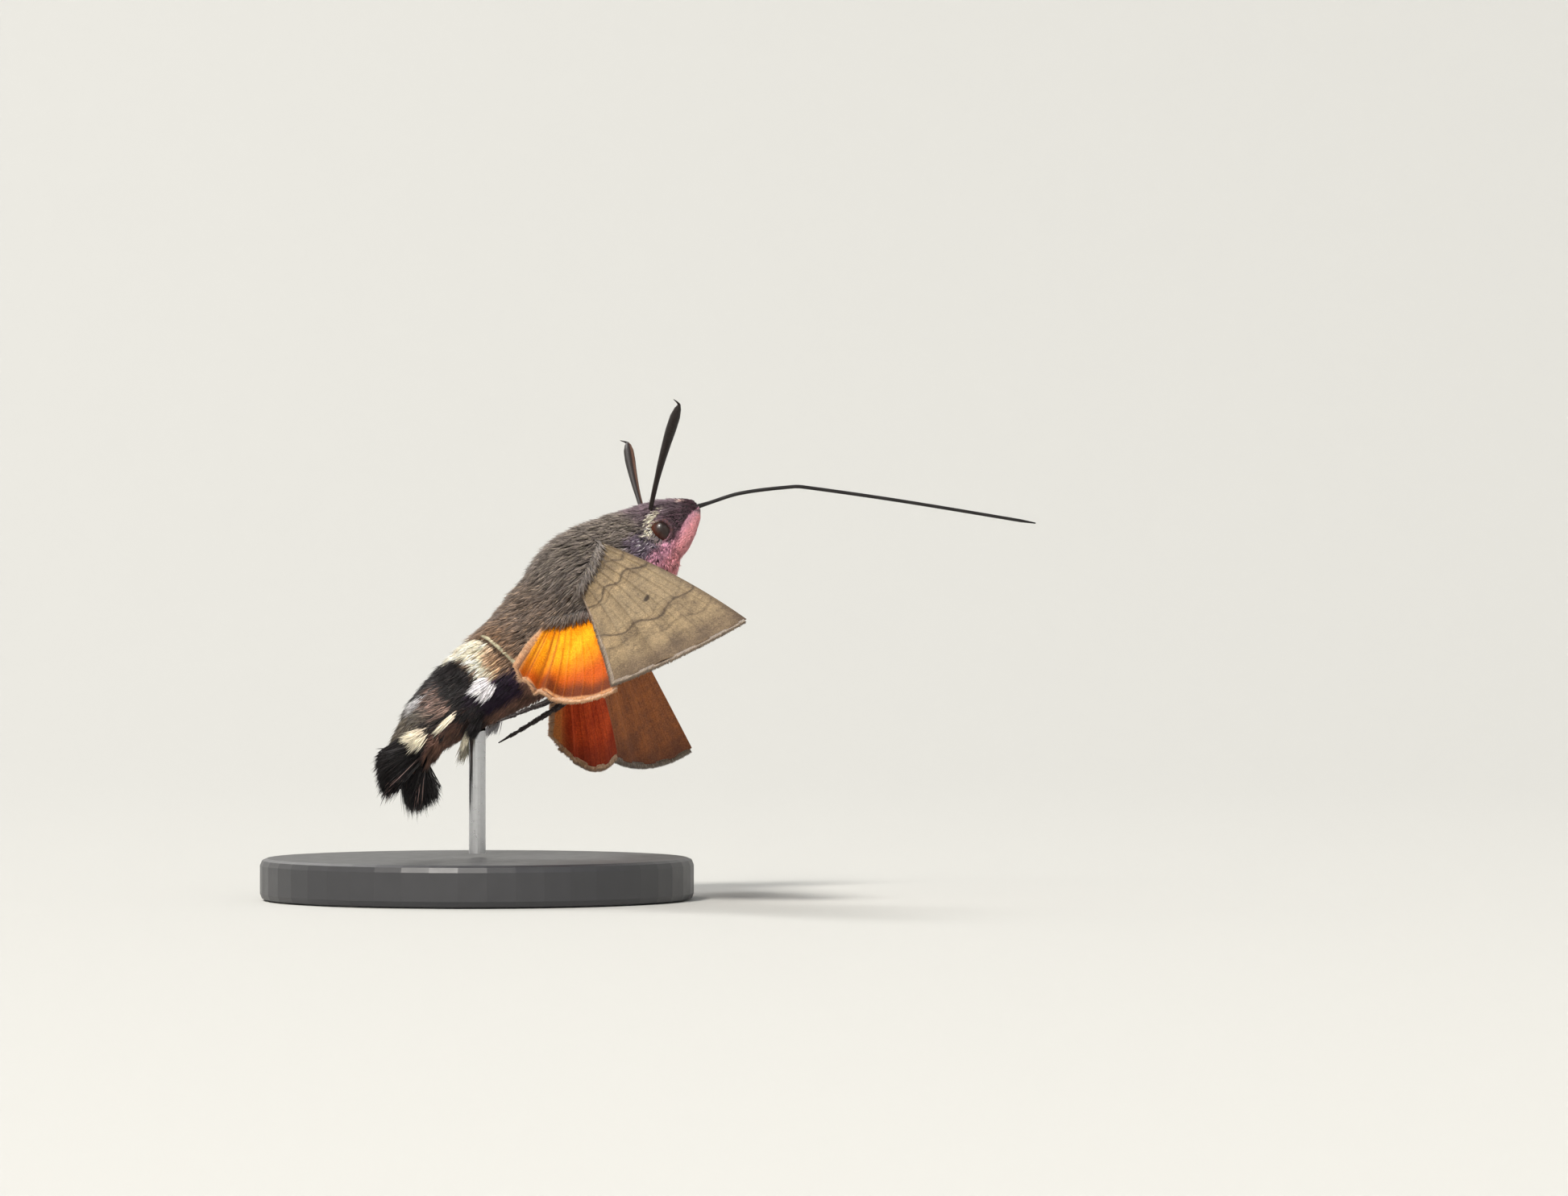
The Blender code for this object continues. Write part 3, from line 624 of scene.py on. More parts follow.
def add_patch(colour, s, turn, tone):
    """The pale patch on each side of the abdomen, and the dark line behind the ring, which is painted shadow
    under the ring's hairs.
    """
    gap = s - ring_place(turn)
    # The black line just behind the ring is painted shadow under the ring's overhanging hairs.
    line = between(gap, (0.02, 0.1), (0.25, 0.45)) * between(turn, (30, 48), (115, 125))
    front = 19.95 - 0.55 * ease(turn, 18, 50)
    rear = 22.25 - 0.95 * ease(turn, 10, 52)
    patch = between(s, (front - 0.12, front + 0.15), (rear - 0.14, rear)) * between(turn, (4, 9), (99, 104))
    warmth = ease(turn, 48, 80) * fade(s, rear - 1.4, rear - 0.5)
    ink = mix(INK["cream"], mix(INK["peach"], INK["tan"], ease(tone, 0.5, 0.9)), warmth)
    ink = mix(ink, INK["dark"], 0.75 * (tone < 0.3) * warmth * ease(turn, 66, 96))
    return layered(colour, (0.85 * line, INK["black"]), (0.97 * patch, ink))


def add_spots(colour, inks, s, turn, tone):
    for name, strength, s_middle, s_half, turn_middle, turn_half, soft, darkest in SPOTS:
        reach = np.hypot((s - s_middle) / s_half, (turn - turn_middle) / turn_half)
        colour = mix(colour, inks[name], strength * fade(reach, 1 - soft, 1) * (tone > darkest))
    return colour


def coat_colour(s, angle, draw):
    """The coat's markings, a little ragged at their edges as hair makes them."""
    count = len(s)
    s = s + draw.normal(0, 0.09, count)
    turn = np.degrees(np.abs(angle)) + draw.normal(0, 2.5, count)
    tone = draw.uniform(0, 1, count)
    inks = area_inks(s, turn, tone)
    colour = back_colour(s, turn, tone)
    colour = add_areas(colour, FRONT_AREAS, inks, s, turn, tone)
    colour = add_face(colour, s, turn, tone)
    colour = add_areas(colour, REAR_AREAS, inks, s, turn, tone)
    colour = add_patch(colour, s, turn, tone)
    return add_spots(colour, inks, s, turn, tone)


def new_material(name):
    made = bpy.data.materials.new(name)
    made.use_nodes = True
    return made, made.node_tree, made.node_tree.nodes["Principled BSDF"]


def set_inputs(node, **values):
    """Sets a node's inputs, whose names have an underscore here for each space, and returns the node."""
    for name, value in values.items():
        node.inputs[name.replace("_", " ")].default_value = value
    return node


def add_grain(tree, scale, detail):
    """Fine noise that sticks to the object, and the place that it is taken at."""
    place = tree.nodes.new("ShaderNodeTexCoord")
    noise = set_inputs(tree.nodes.new("ShaderNodeTexNoise"), Scale=scale, Detail=detail)
    tree.links.new(place.outputs["Object"], noise.inputs["Vector"])
    return noise, place


def add_bump(tree, shader, height, strength, depth):
    bump = set_inputs(tree.nodes.new("ShaderNodeBump"), Strength=strength, Distance=depth)
    tree.links.new(height, bump.inputs["Height"])
    tree.links.new(bump.outputs["Normal"], shader.inputs["Normal"])


def material(name, grain, roughness, specular, sheen=0.0, coat=0.0, bump=None):
    """A material coloured by the mesh's ink, broken up by fine noise, with a relief if it has a bump."""
    made, tree, shader = new_material(name)
    link = tree.links.new
    set_inputs(shader, Roughness=roughness, Specular_IOR_Level=specular, Sheen_Weight=sheen)
    set_inputs(shader, Coat_Weight=coat, Coat_Roughness=0.08)
    ink = tree.nodes.new("ShaderNodeAttribute")
    ink.attribute_name = "ink"
    size, low, high = grain
    noise, place = add_grain(tree, size, 3)
    reach = tree.nodes.new("ShaderNodeMapRange")
    set_inputs(reach, From_Min=0.3, From_Max=0.7, To_Min=low, To_Max=high)
    link(noise.outputs["Fac"], reach.inputs["Value"])
    blend = tree.nodes.new("ShaderNodeVectorMath")
    blend.operation = "SCALE"
    link(ink.outputs["Color"], blend.inputs[0])
    link(reach.outputs["Result"], blend.inputs["Scale"])
    link(blend.outputs["Vector"], shader.inputs["Base Color"])
    if bump:
        kind, scale, depth = bump
        texture, output = {"cells": ("Voronoi", "Distance"), "noise": ("Noise", "Fac")}[kind]
        relief = set_inputs(tree.nodes.new(f"ShaderNodeTex{texture}"), Scale=scale)
        link(place.outputs["Object"], relief.inputs["Vector"])
        add_bump(tree, shader, relief.outputs[output], 0.6, depth)
    return made


def metal(name, colour, roughness, metallic, scale):
    """A finish with a fine unevenness in its gloss and colour."""
    made, tree, shader = new_material(name)
    link = tree.links.new
    set_inputs(shader, Metallic=metallic)
    noise, _ = add_grain(tree, scale, 5)
    gloss = tree.nodes.new("ShaderNodeMapRange")
    set_inputs(gloss, To_Min=roughness * 0.85, To_Max=roughness * 1.2)
    link(noise.outputs["Fac"], gloss.inputs["Value"])
    link(gloss.outputs["Result"], shader.inputs["Roughness"])
    ramp = tree.nodes.new("ShaderNodeValToRGB")
    for stop, share in zip(ramp.color_ramp.elements, (0.86, 1.1)):
        stop.color = (*colour * share, 1)
    link(noise.outputs["Fac"], ramp.inputs["Fac"])
    link(ramp.outputs["Color"], shader.inputs["Base Color"])
    add_bump(tree, shader, noise.outputs["Fac"], 0.05, 0.00001)
    return made


def add_object(name, mesh, made, replaces=()):
    obj = bpy.data.objects.new(name, mesh)
    bpy.context.scene.collection.objects.link(obj)
    mesh.materials.clear()
    mesh.materials.append(made)
    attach(obj, "root")
    if replaces:
        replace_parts(obj, *replaces)
    return obj


def paint(mesh, ink):
    layer = mesh.color_attributes.new(name="ink", type="FLOAT_COLOR", domain="POINT")
    full = np.ones((len(ink), 4), np.float32)
    full[:, :3] = np.clip(ink, 0, 1)
    layer.data.foreach_set("color", full.ravel())


def lay_out(mesh, uv, corners):
    """Gives the mesh its bake map, from a place for each point and the point of each face corner."""
    layer = mesh.uv_layers.new(name="OFBake")
    layer.data.foreach_set("uv", uv[corners].astype(np.float32).ravel())


def mesh_from(name, points, faces, ink, uv):
    """A mesh of points in mm in the moth's frame, rows of corners as faces, and a colour for each point."""
    mesh = bpy.data.meshes.new(name)
    faces = np.asarray(faces, np.int32)
    sides = faces.shape[1]
    mesh.vertices.add(len(points))
    mesh.vertices.foreach_set("co", to_world(points).astype(np.float32).ravel())
    mesh.loops.add(faces.size)
    mesh.loops.foreach_set("vertex_index", faces.ravel())
    mesh.polygons.add(len(faces))
    mesh.polygons.foreach_set("loop_start", np.arange(0, faces.size, sides, dtype=np.int32))
    mesh.polygons.foreach_set("use_smooth", np.ones(len(faces), bool))
    mesh.update(calc_edges=True)
    paint(mesh, ink)
    lay_out(mesh, uv, faces.ravel())
    return mesh


def ring_faces(rows, columns, closed=True):
    """The quads between rows rings of columns points each."""
    steps = columns if closed else columns - 1
    row, column = np.divmod(np.arange((rows - 1) * steps), steps)
    after = (column + 1) % columns
    low, high = row * columns, (row + 1) * columns
    return np.stack((low + column, low + after, high + after, high + column), -1)


def tuft_faces(rings):
    """The triangles of one three-sided tuft with this many rings and a point."""
    faces = [(0, 2, 1)]
    for low in range(0, 3 * rings - 3, 3):
        for corner in range(3):
            after = (corner + 1) % 3
            faces.append((low + corner, low + after, low + 3 + after))
            faces.append((low + corner, low + 3 + after, low + 3 + corner))
    top = 3 * rings
    return np.array(faces + [(top - 3 + corner, top - 3 + (corner + 1) % 3, top) for corner in range(3)])


def tuft_points(tufts, rings):
    """The corners of the tufts, three to a ring and then the point, and their colours, from a root darkened as
    painted shade to the tip.
    """
    count, corners = len(tufts.root), 3 * len(rings) + 1
    points = np.empty((count, corners, 3))
    ink = np.empty((count, corners, 3))
    for k, (at, girth) in enumerate(rings):
        centre = tufts.root * (1 - at) ** 2 + tufts.bend * 2 * at * (1 - at) + tufts.tip * at * at
        way = unit((tufts.bend - tufts.root) * (1 - at) + (tufts.tip - tufts.bend) * at)
        across = unit(np.cross(tufts.normal, way))
        points[:, 3 * k] = moved(centre, (across, -tufts.width / 2 * girth))
        points[:, 3 * k + 1] = moved(centre, (across, tufts.width / 2 * girth))
        points[:, 3 * k + 2] = moved(centre, (np.cross(way, across), tufts.thick * girth))
        ink[:, 3 * k : 3 * k + 3] = mix(tufts.dark, tufts.light, np.full(count, min(1, at * 1.5)))[:, None]
    points[:, -1] = tufts.tip
    ink[:, -1] = tufts.light
    return points, ink


def add_tufts(name, made, tufts, rings=FINE_RINGS):
    """Thin, curved, pointed tufts as solid meshes: each runs from root by bend to tip, three-sided."""
    one = tuft_faces(len(rings))
    corners = 3 * len(rings) + 1
    spot = [(x, 2 * k / len(rings) - 1) for k in range(len(rings)) for x in (-1, 1, 0)] + [(0, 1)]
    most = MOST_TRIANGLES // len(one)
    order = np.argsort(tufts.uv[:, 1], kind="stable")
    pieces = []
    for number, start in enumerate(range(0, len(order), most)):
        pick = order[start : start + most]
        part = Tufts(*(values[pick] for values in tufts))
        points, ink = tuft_points(part, rings)
        faces = (one[None] + corners * np.arange(len(pick))[:, None, None]).reshape(-1, 3)
        patches = (part.uv[:, None] + np.array(spot)[None] * PATCH).reshape(-1, 2)
        piece = f"{name}_{number}" if len(order) > most else name
        mesh = mesh_from(piece, points.reshape(-1, 3), faces, ink.reshape(-1, 3), patches)
        pieces.append(add_object(piece, mesh, made))
    return pieces


def on_side(tufts, sign):
    """The tufts of the left side, moved to the side of this sign."""
    flip = np.array((1, sign, 1))
    return Tufts(*(values * flip for values in tufts[:4]), *tufts[4:])


def gather(places, root, tips, clumps, pull, seed):
    """Draws tips sideways towards the nearest of a few chosen tufts, so that the hair lies in locks.

    places are the tufts on the unrolled skin, squeezed along the lie, which makes the locks long and narrow.
    """
    draw = np.random.default_rng(seed)
    chosen = draw.choice(len(places), clumps, replace=False)
    tree = kdtree.KDTree(clumps)
    for number, index in enumerate(chosen):
        tree.insert((*places[index], 0), number)
    tree.balance()
    near = np.array([chosen[tree.find((x, y, 0))[1]] for x, y in places])
    shift = square_to(tips[near] - tips, unit(tips - root))
    return moved(tips, (shift, draw.uniform(*pull, len(places)))), near


def mirrored(points):
    """The points, with those of the right side moved to the left."""
    return points * np.stack((np.ones(len(points)), np.sign(points[:, 1]), np.ones(len(points))), -1)


def off_the_eyes(root, bend, tip):
    """Lays tips that would sink into an eye over its rim, and says which tufts leave its face free."""
    clear = np.linalg.norm(mirrored(root) - EYE_CENTRE, axis=1) > EYE_RADIUS * 0.97
    laid = []
    for points, spare in ((bend, 0.05), (tip, 0.07)):
        arm = mirrored(points) - EYE_CENTRE
        raised = EYE_CENTRE + unit(arm) * (EYE_RADIUS + spare)
        raised[:, 1] *= np.sign(points[:, 1])
        sunk = np.linalg.norm(arm, axis=1) < EYE_RADIUS + spare
        laid.append(np.where(sunk[:, None], raised, points))
        clear &= ~(sunk & (np.linalg.norm(square_to(arm, EYE_OUTWARD), axis=1) < EYE_OPENING))
    return laid[0], laid[1], clear


def fan_axes():
    """The fan's directions: along it, across it, and up from its face."""
    along = np.array((-math.sin(FAN_LEAN), 0, -math.cos(FAN_LEAN)))
    upper = np.array((-math.cos(FAN_LEAN), 0, math.sin(FAN_LEAN)))
    across = np.array((0, 1, 0)) * math.cos(FAN_TWIST) - upper * math.sin(FAN_TWIST)
    return along, across, np.cross(across, along)


ALONG, ACROSS, UPPER = fan_axes()
FAN_ROOT_WIDTH, FAN_ROOT_DEPTH = BODY_STATIONS[-1][2:]


def fan_section(share):
    """The fan core's centre, sideways and upward directions, as in the solids."""
    share = np.asarray(share, float)[..., None]
    centre, tailward, body_up, _, _ = body_frame(TAIL_ROOT)
    middle = centre + tailward * 0.15 + (tailward * (1 - share) + ALONG * share) * share * FAN_CORE
    side = unit(np.array((0, 1, 0)) * (1 - share) + ACROSS * share)
    return middle, side, unit(body_up * (1 - share) + UPPER * share)


def loft_points(centres, sides, ups, half_widths, half_depths, count):
    """Rings of count points round the centres."""
    turn = np.linspace(0, math.tau, count, endpoint=False)
    wide = np.sin(turn)[None] * half_widths[:, None]
    deep = np.cos(turn)[None] * half_depths[:, None]
    return moved(centres[:, None], (sides[:, None], wide), (ups[:, None], deep))


def closed_loft(bm, rings):
    """Adds a closed surface through rings of points to bm."""
    rows = [[bm.verts.new(to_world(point)) for point in ring] for ring in rings]
    for low, high in zip(rows, rows[1:]):
        for k in range(len(low)):
            after = (k + 1) % len(low)
            bm.faces.new((low[k], low[after], high[after], high[k]))
    bm.faces.new(rows[0])
    bm.faces.new(rows[-1])


def palp_frame(share, turn, inset):
    """Places on the left palp, inset from its solid, and the middles that they lie round."""
    rows = by_distance(PALP_STATIONS, 3)
    x, y, z, half_width, half_depth = np.moveaxis(smooth_rows(rows, share * rows[-1, 0]), -1, 0)
    centre = np.stack((x, y, z), -1)
    wide = np.cos(turn) * np.maximum(half_width - inset, 0.05)
    deep = np.sin(turn) * np.maximum(half_depth - inset, 0.05)
    return moved(centre, (np.array((0, 1, 0)), wide), (PALP_TILT, deep)), centre


def add_skin_parts(bm):
    """The closed surfaces of body, palps and fan core, still apart."""
    turn = np.linspace(0, math.tau, 64, endpoint=False)
    closed_loft(bm, skin_point(*np.broadcast_arrays(np.linspace(0.12, TAIL_ROOT, 90)[:, None], turn[None])))
    for sign in SIDES.values():
        share, around = np.broadcast_arrays(np.linspace(0, 1, 14)[:, None], turn[None, ::3])
        closed_loft(bm, palp_frame(share, around, PALP_COAT)[0] * (1, sign, 1))
    share = np.linspace(0, 1, 8)
    middle, side, up = fan_section(share)
    wide = along_table(FAN_WIDTHS, share) * FAN_ROOT_WIDTH - 0.5
    deep = along_table(FAN_DEPTHS, share) * FAN_ROOT_DEPTH - 0.4
    middle[0] -= body_frame(TAIL_ROOT)[1] * 0.8
    closed_loft(bm, loft_points(middle, side, up, wide, deep, 40))
    bmesh.ops.recalc_face_normals(bm, faces=bm.faces)


def joined(bm, name):
    """One soft, closed mesh out of the surfaces in bm, which cross each other."""
    rough = bpy.data.meshes.new(f"{name}_rough")
    bm.to_mesh(rough)
    holder = bpy.data.objects.new(f"{name}_rough", rough)
    bpy.context.scene.collection.objects.link(holder)
    remesh = holder.modifiers.new("one_skin", "REMESH")
    remesh.mode = "VOXEL"
    remesh.voxel_size = 0.12 * MM
    holder.modifiers.new("soften", "SMOOTH").iterations = 6
    bpy.context.view_layer.update()
    mesh = bpy.data.meshes.new_from_object(holder.evaluated_get(bpy.context.evaluated_depsgraph_get()))
    bpy.data.objects.remove(holder)
    mesh.name = name
    mesh.shade_smooth()
    return mesh


def make_skin(made):
    """The skin that shows between the hairs, in the coat's own colours darkened to 0.4: painted shade deep
    under the hair.
    """
    bm = bmesh.new()
    add_skin_parts(bm)
    mesh = joined(bm, "skin")
    bm.free()
    world = np.empty(len(mesh.vertices) * 3, np.float32)
    mesh.vertices.foreach_get("co", world)
    s, angle = locate(from_world(world.reshape(-1, 3)))
    # The coat's colours at 0.4: painted shade under the hair.
    paint(mesh, coat_colour(s, angle, np.random.default_rng(3)) * 0.4)
    corners = np.empty(len(mesh.loops), np.int32)
    mesh.loops.foreach_get("vertex_index", corners)
    lay_out(mesh, body_uv(s, angle), corners)
    add_object("skin", mesh, made, ("head", "thorax", "abdomen", "palp_left", "palp_right"))


def body_uv(s, angle):
    across = UV_MARGIN + 0.7 * (angle / math.tau + 0.5)
    return np.stack((across, UV_MARGIN + 0.96 * np.clip(s / 29, 0, 1)), -1)


def strip_uv(turn, height, sign):
    """A place on the narrow strip beside the body's map that each side has for its palp and its eye's rim."""
    return np.stack((0.76 + 0.1 * (sign > 0) + 0.08 * turn / math.tau, height + 0 * turn), -1)


def spread_hairs(draw, count):
    """Places for the coat's hairs, even over the skin but denser towards the nose."""
    tries = count * 3
    s = draw.uniform(0.1, TAIL_ROOT + 0.1, tries)
    angle = draw.uniform(-math.pi, math.pi, tries)
    _, _, _, half_width, half_depth = body_frame(s)
    girth = np.hypot(half_width * np.cos(angle), half_depth * np.sin(angle))
    finer = np.interp(s, (0, 4, 8), (3.2, 1.9, 1.0))
    keep = np.flatnonzero(draw.uniform(0, 7.0, tries) < girth * finer)[:count]
    return s[keep], angle[keep], np.sqrt(half_width * half_depth)[keep]


def make_body_coat(made):
    """The fur of head, thorax and abdomen, in locks that lie back along the body."""
    draw = np.random.default_rng(11)
    s, angle, radius = spread_hairs(draw, BODY_HAIRS)
    count = len(s)
    root, normal, tailward = skin_frame(s, angle)
    turn = np.degrees(np.abs(angle))
    toward_fan = ease(s, 24.4, 26.8)[:, None]
    fan_way = unit(moved(ALONG, (ACROSS, (root @ ACROSS) * 0.12)))
    tailward = unit(tailward * (1 - toward_fan) + fan_way * toward_fan)
    yaw = 0.13 * ripple(root, 3.0, 5) + 0.05 * ripple(root, 0.8, 6) + draw.normal(0, 0.07, count)
    yaw = yaw * np.interp(s, (0, 4, 8, 20, 23), (0.6, 0.8, 1.0, 1.2, 1.9))
    lie = swung(tailward, np.cross(normal, tailward), yaw)
    length = along_table(HAIR_LENGTH, s) * (1 - 0.2 * ease(turn, 115, 150)) * draw.uniform(0.75, 1.15, count)
    stray = draw.uniform(0, 1, count) < STRAY_HAIRS
    height = along_table(COAT_DEPTH, s) * draw.uniform(0.62, 1.22, count) * np.where(stray, 1.35, 1)
    shown = s + 0.65 * length
    low = between(shown - ring_place(turn), (-0.05, 0.1), (0.3, 0.6)) * between(turn, (28, 45), (116, 128))
    height *= 1 - 0.45 * low
    length *= 1 - 0.3 * low
    height = np.minimum(height, length * 0.75)
    tip = moved(root, (lie, np.sqrt(length**2 - height**2)), (normal, height))
    unrolled = np.stack((s * 0.3, angle * radius), -1)
    tip, near = gather(unrolled, root, tip, count // HAIRS_IN_A_LOCK, LOCK_PULL, 21)
    bend = moved(root, (lie, length * 0.42), (normal, height * 0.74))
    bend, tip, clear = off_the_eyes(root, bend, tip)
    ink = coat_colour(shown, angle, draw)
    lock = draw.uniform(0.58, 1.32, count)[near] * np.where(stray, 1.25, 1)
    shade = (draw.uniform(0.78, 1.2, count) * lock)[:, None]
    width = along_table(HAIR_WIDTH, s) * draw.uniform(0.75, 1.25, count)
    # Roots darkened, dark hair most, and tips lightened: painted shade deep in the coat.
    dark = ink * shade * (0.32 + 0.45 * ink.mean(-1, keepdims=True))
    light = ink * shade * 1.25
    tufts = (root, bend, tip, normal, width, width * HAIR_FLATNESS, dark, light, body_uv(s, angle))
    add_tufts("coat", made, Tufts(*(values[clear] for values in tufts)))


def make_ring(made):
    """The thin pale fringe across the abdomen's sides."""
    draw = np.random.default_rng(17)
    count = RING_HAIRS
    degrees = draw.uniform(42, 128, count)
    angle = np.radians(degrees) * draw.choice((-1, 1), count)
    length = draw.uniform(0.36, 0.5, count)
    s = ring_place(degrees) - length + draw.normal(0, 0.02, count)
    root, normal, tailward = skin_frame(s, angle)
    height = along_table(COAT_DEPTH, s) * draw.uniform(1.0, 1.18, count)
    tip = moved(root, (tailward, length), (normal, height))
    bend = moved(root, (tailward, length * 0.35), (normal, height * 0.85))
    shade = draw.uniform(0.8, 1.1, count)[:, None]
    width = draw.uniform(0.08, 0.13, count)
    # The roots' tan at half brightness: painted shade deep in the coat.
    dark, light = INK["tan"] * shade * 0.5, INK["ring"] * shade
    tufts = Tufts(root, bend, tip, normal, width, width * HAIR_FLATNESS, dark, light, body_uv(s, angle))
    add_tufts("ring", made, tufts)


def make_palp_coat(made):
    """The short hair of the palps: pale, with painted reflected pink light in pink and lilac, dark at their
    tips, and with a line of painted shade at their base.
    """
    draw = np.random.default_rng(12)
    count = PALP_HAIRS
    for side, sign in SIDES.items():
        share = draw.uniform(0.01, 0.97, count)
        turn = draw.uniform(0, math.tau, count)
        root, centre = palp_frame(share, turn, PALP_COAT)
        ahead, _ = palp_frame(share + 0.03, turn, PALP_COAT)
        lie = unit(ahead - root)
        normal = unit(square_to(unit(root - centre), lie))
        lie = swung(lie, np.cross(normal, lie), draw.normal(0, 0.1, count))
        length = draw.uniform(0.3, 0.5, count)
        height = PALP_COAT * draw.uniform(0.5, 1.15, count)
        tip = moved(root, (lie, length), (normal, height))
        bend = moved(root, (lie, length * 0.45), (normal, height * 0.8))
        tone = draw.uniform(0, 1, count)
        # Pink towards the front, lilac behind: painted reflected pink light over pale hair.
        outer = ease(centre[:, 0] - root[:, 0], -0.3, 0.35)
        ink = layered(
            mix(INK["pink"], INK["lilac"], 0.75 * outer + 0.1 * tone),
            (ease(share, 0.86, 0.97) * 0.8, INK["beak"]),
            # A dark line at the palp's base, between palp and throat: painted shade.
            (0.6 * fade(share, 0.04, 0.09), INK["beak"]),
        )
        ink = ink * draw.uniform(0.88, 1.08, count)[:, None]
        width = draw.uniform(0.05, 0.085, count)
        uv = strip_uv(turn, 0.05 + 0.25 * share, sign)
        # Roots darker than tips: painted shade deep in the coat.
        tufts = Tufts(root, bend, tip, normal, width, width * HAIR_FLATNESS, ink * 0.7, ink * 1.05, uv)
        add_tufts(f"palp_coat_{side}", made, on_side(tufts, sign))


def brush(draw, s, degrees, count, length, rise, span, root_ink, tip_ink):
    """One brush of the left side, its tips drawn together into a few teeth."""
    high, low = span
    tooth = draw.integers(0, TEETH, count)
    off = draw.uniform(-0.5, 0.5, count)
    sweep = (tooth + 0.5 + off) / TEETH
    drawn = (tooth + 0.5 + 0.35 * off) / TEETH
    slim = min(1, (low - high) / FULL_SPAN)
    place = s + draw.normal(0, 0.13, count)
    angle = np.radians(degrees + draw.normal(0, 0.8 + 1.6 * slim, count) + (sweep - 0.5) * 6 * slim)
    root, normal, tailward = skin_frame(place, angle)
    turn = np.radians(high + (low - high) * drawn) + draw.normal(0, 0.03, count)
    lie = swung(tailward, -np.cross(normal, tailward), turn)
    reach = length * (1.08 - 0.42 * np.abs(2 * off)) * draw.uniform(0.88, 1.04, count)
    reach = reach * draw.uniform(0.76, 1.08, TEETH)[tooth]
    lift = rise + draw.uniform(0, 0.22, count)
    tip = moved(root, (unit(moved(lie, (normal, lift))), reach))
    bend = moved(root, (unit(moved(lie, (normal, lift + 0.4))), reach * 0.5))
    shade = draw.uniform(0.92, 1.08, count)[:, None]
    width = draw.uniform(0.07, 0.13, count)
    # Roots darker than tips: painted shade inside the brush.
    dark, light = INK[root_ink] * shade * 0.85, INK[tip_ink] * shade
    return Tufts(root, bend, tip, normal, width, width * 0.35, dark, light, body_uv(place, angle))


def make_brushes(made):
    """The tufts that stand out along the abdomen's sides."""
    draw = np.random.default_rng(13)
    for side, sign in SIDES.items():
        brushes = [brush(draw, *row) for row in BRUSHES[side]]
        tufts = on_side(Tufts(*(np.concatenate(values) for values in zip(*brushes))), sign)
        if sign < 0:
            tufts = tufts._replace(uv=tufts.uv * (-1, 1) + (0.7 + 2 * UV_MARGIN, 0))
        add_tufts(f"side_brushes_{side}", made, tufts, LONG_RINGS)


def make_eye_rims(made):
    """Short hair that leans in over the edges of the eyes, farthest from above and ahead."""
    draw = np.random.default_rng(18)
    count = RIM_HAIRS
    first = unit(np.cross(EYE_OUTWARD, (0, 0, 1)))
    second = np.cross(EYE_OUTWARD, first)
    for side, sign in SIDES.items():
        turn = draw.uniform(0, math.tau, count)
        swerve = draw.normal(0, 0.3, count)
        places = []
        for low, high, lift, lean, swing in EYE_RIM:
            ring = swung(first, second, turn + swerve * swing)
            reach = np.radians(draw.uniform(low, high, count) - lean * (ring @ EYE_HOOD))
            places.append(EYE_CENTRE + swung(EYE_OUTWARD, ring, reach) * (EYE_RADIUS + lift))
        root, bend, tip = places
        ink = coat_colour(*locate(root), draw)
        ink = mix(ink, INK["rim"], 0.7 * (draw.uniform(0, 1, count) < 0.3))
        width = draw.uniform(0.05, 0.09, count)
        normal, uv = unit(bend - EYE_CENTRE), strip_uv(turn, 0.33, sign)
        # Roots at half brightness: painted shade under the rim's hair.
        tufts = Tufts(root, bend, tip, normal, width, width * HAIR_FLATNESS, ink * 0.5, ink * 1.1, uv)
        add_tufts(f"eye_rim_{side}", made, on_side(tufts, sign))


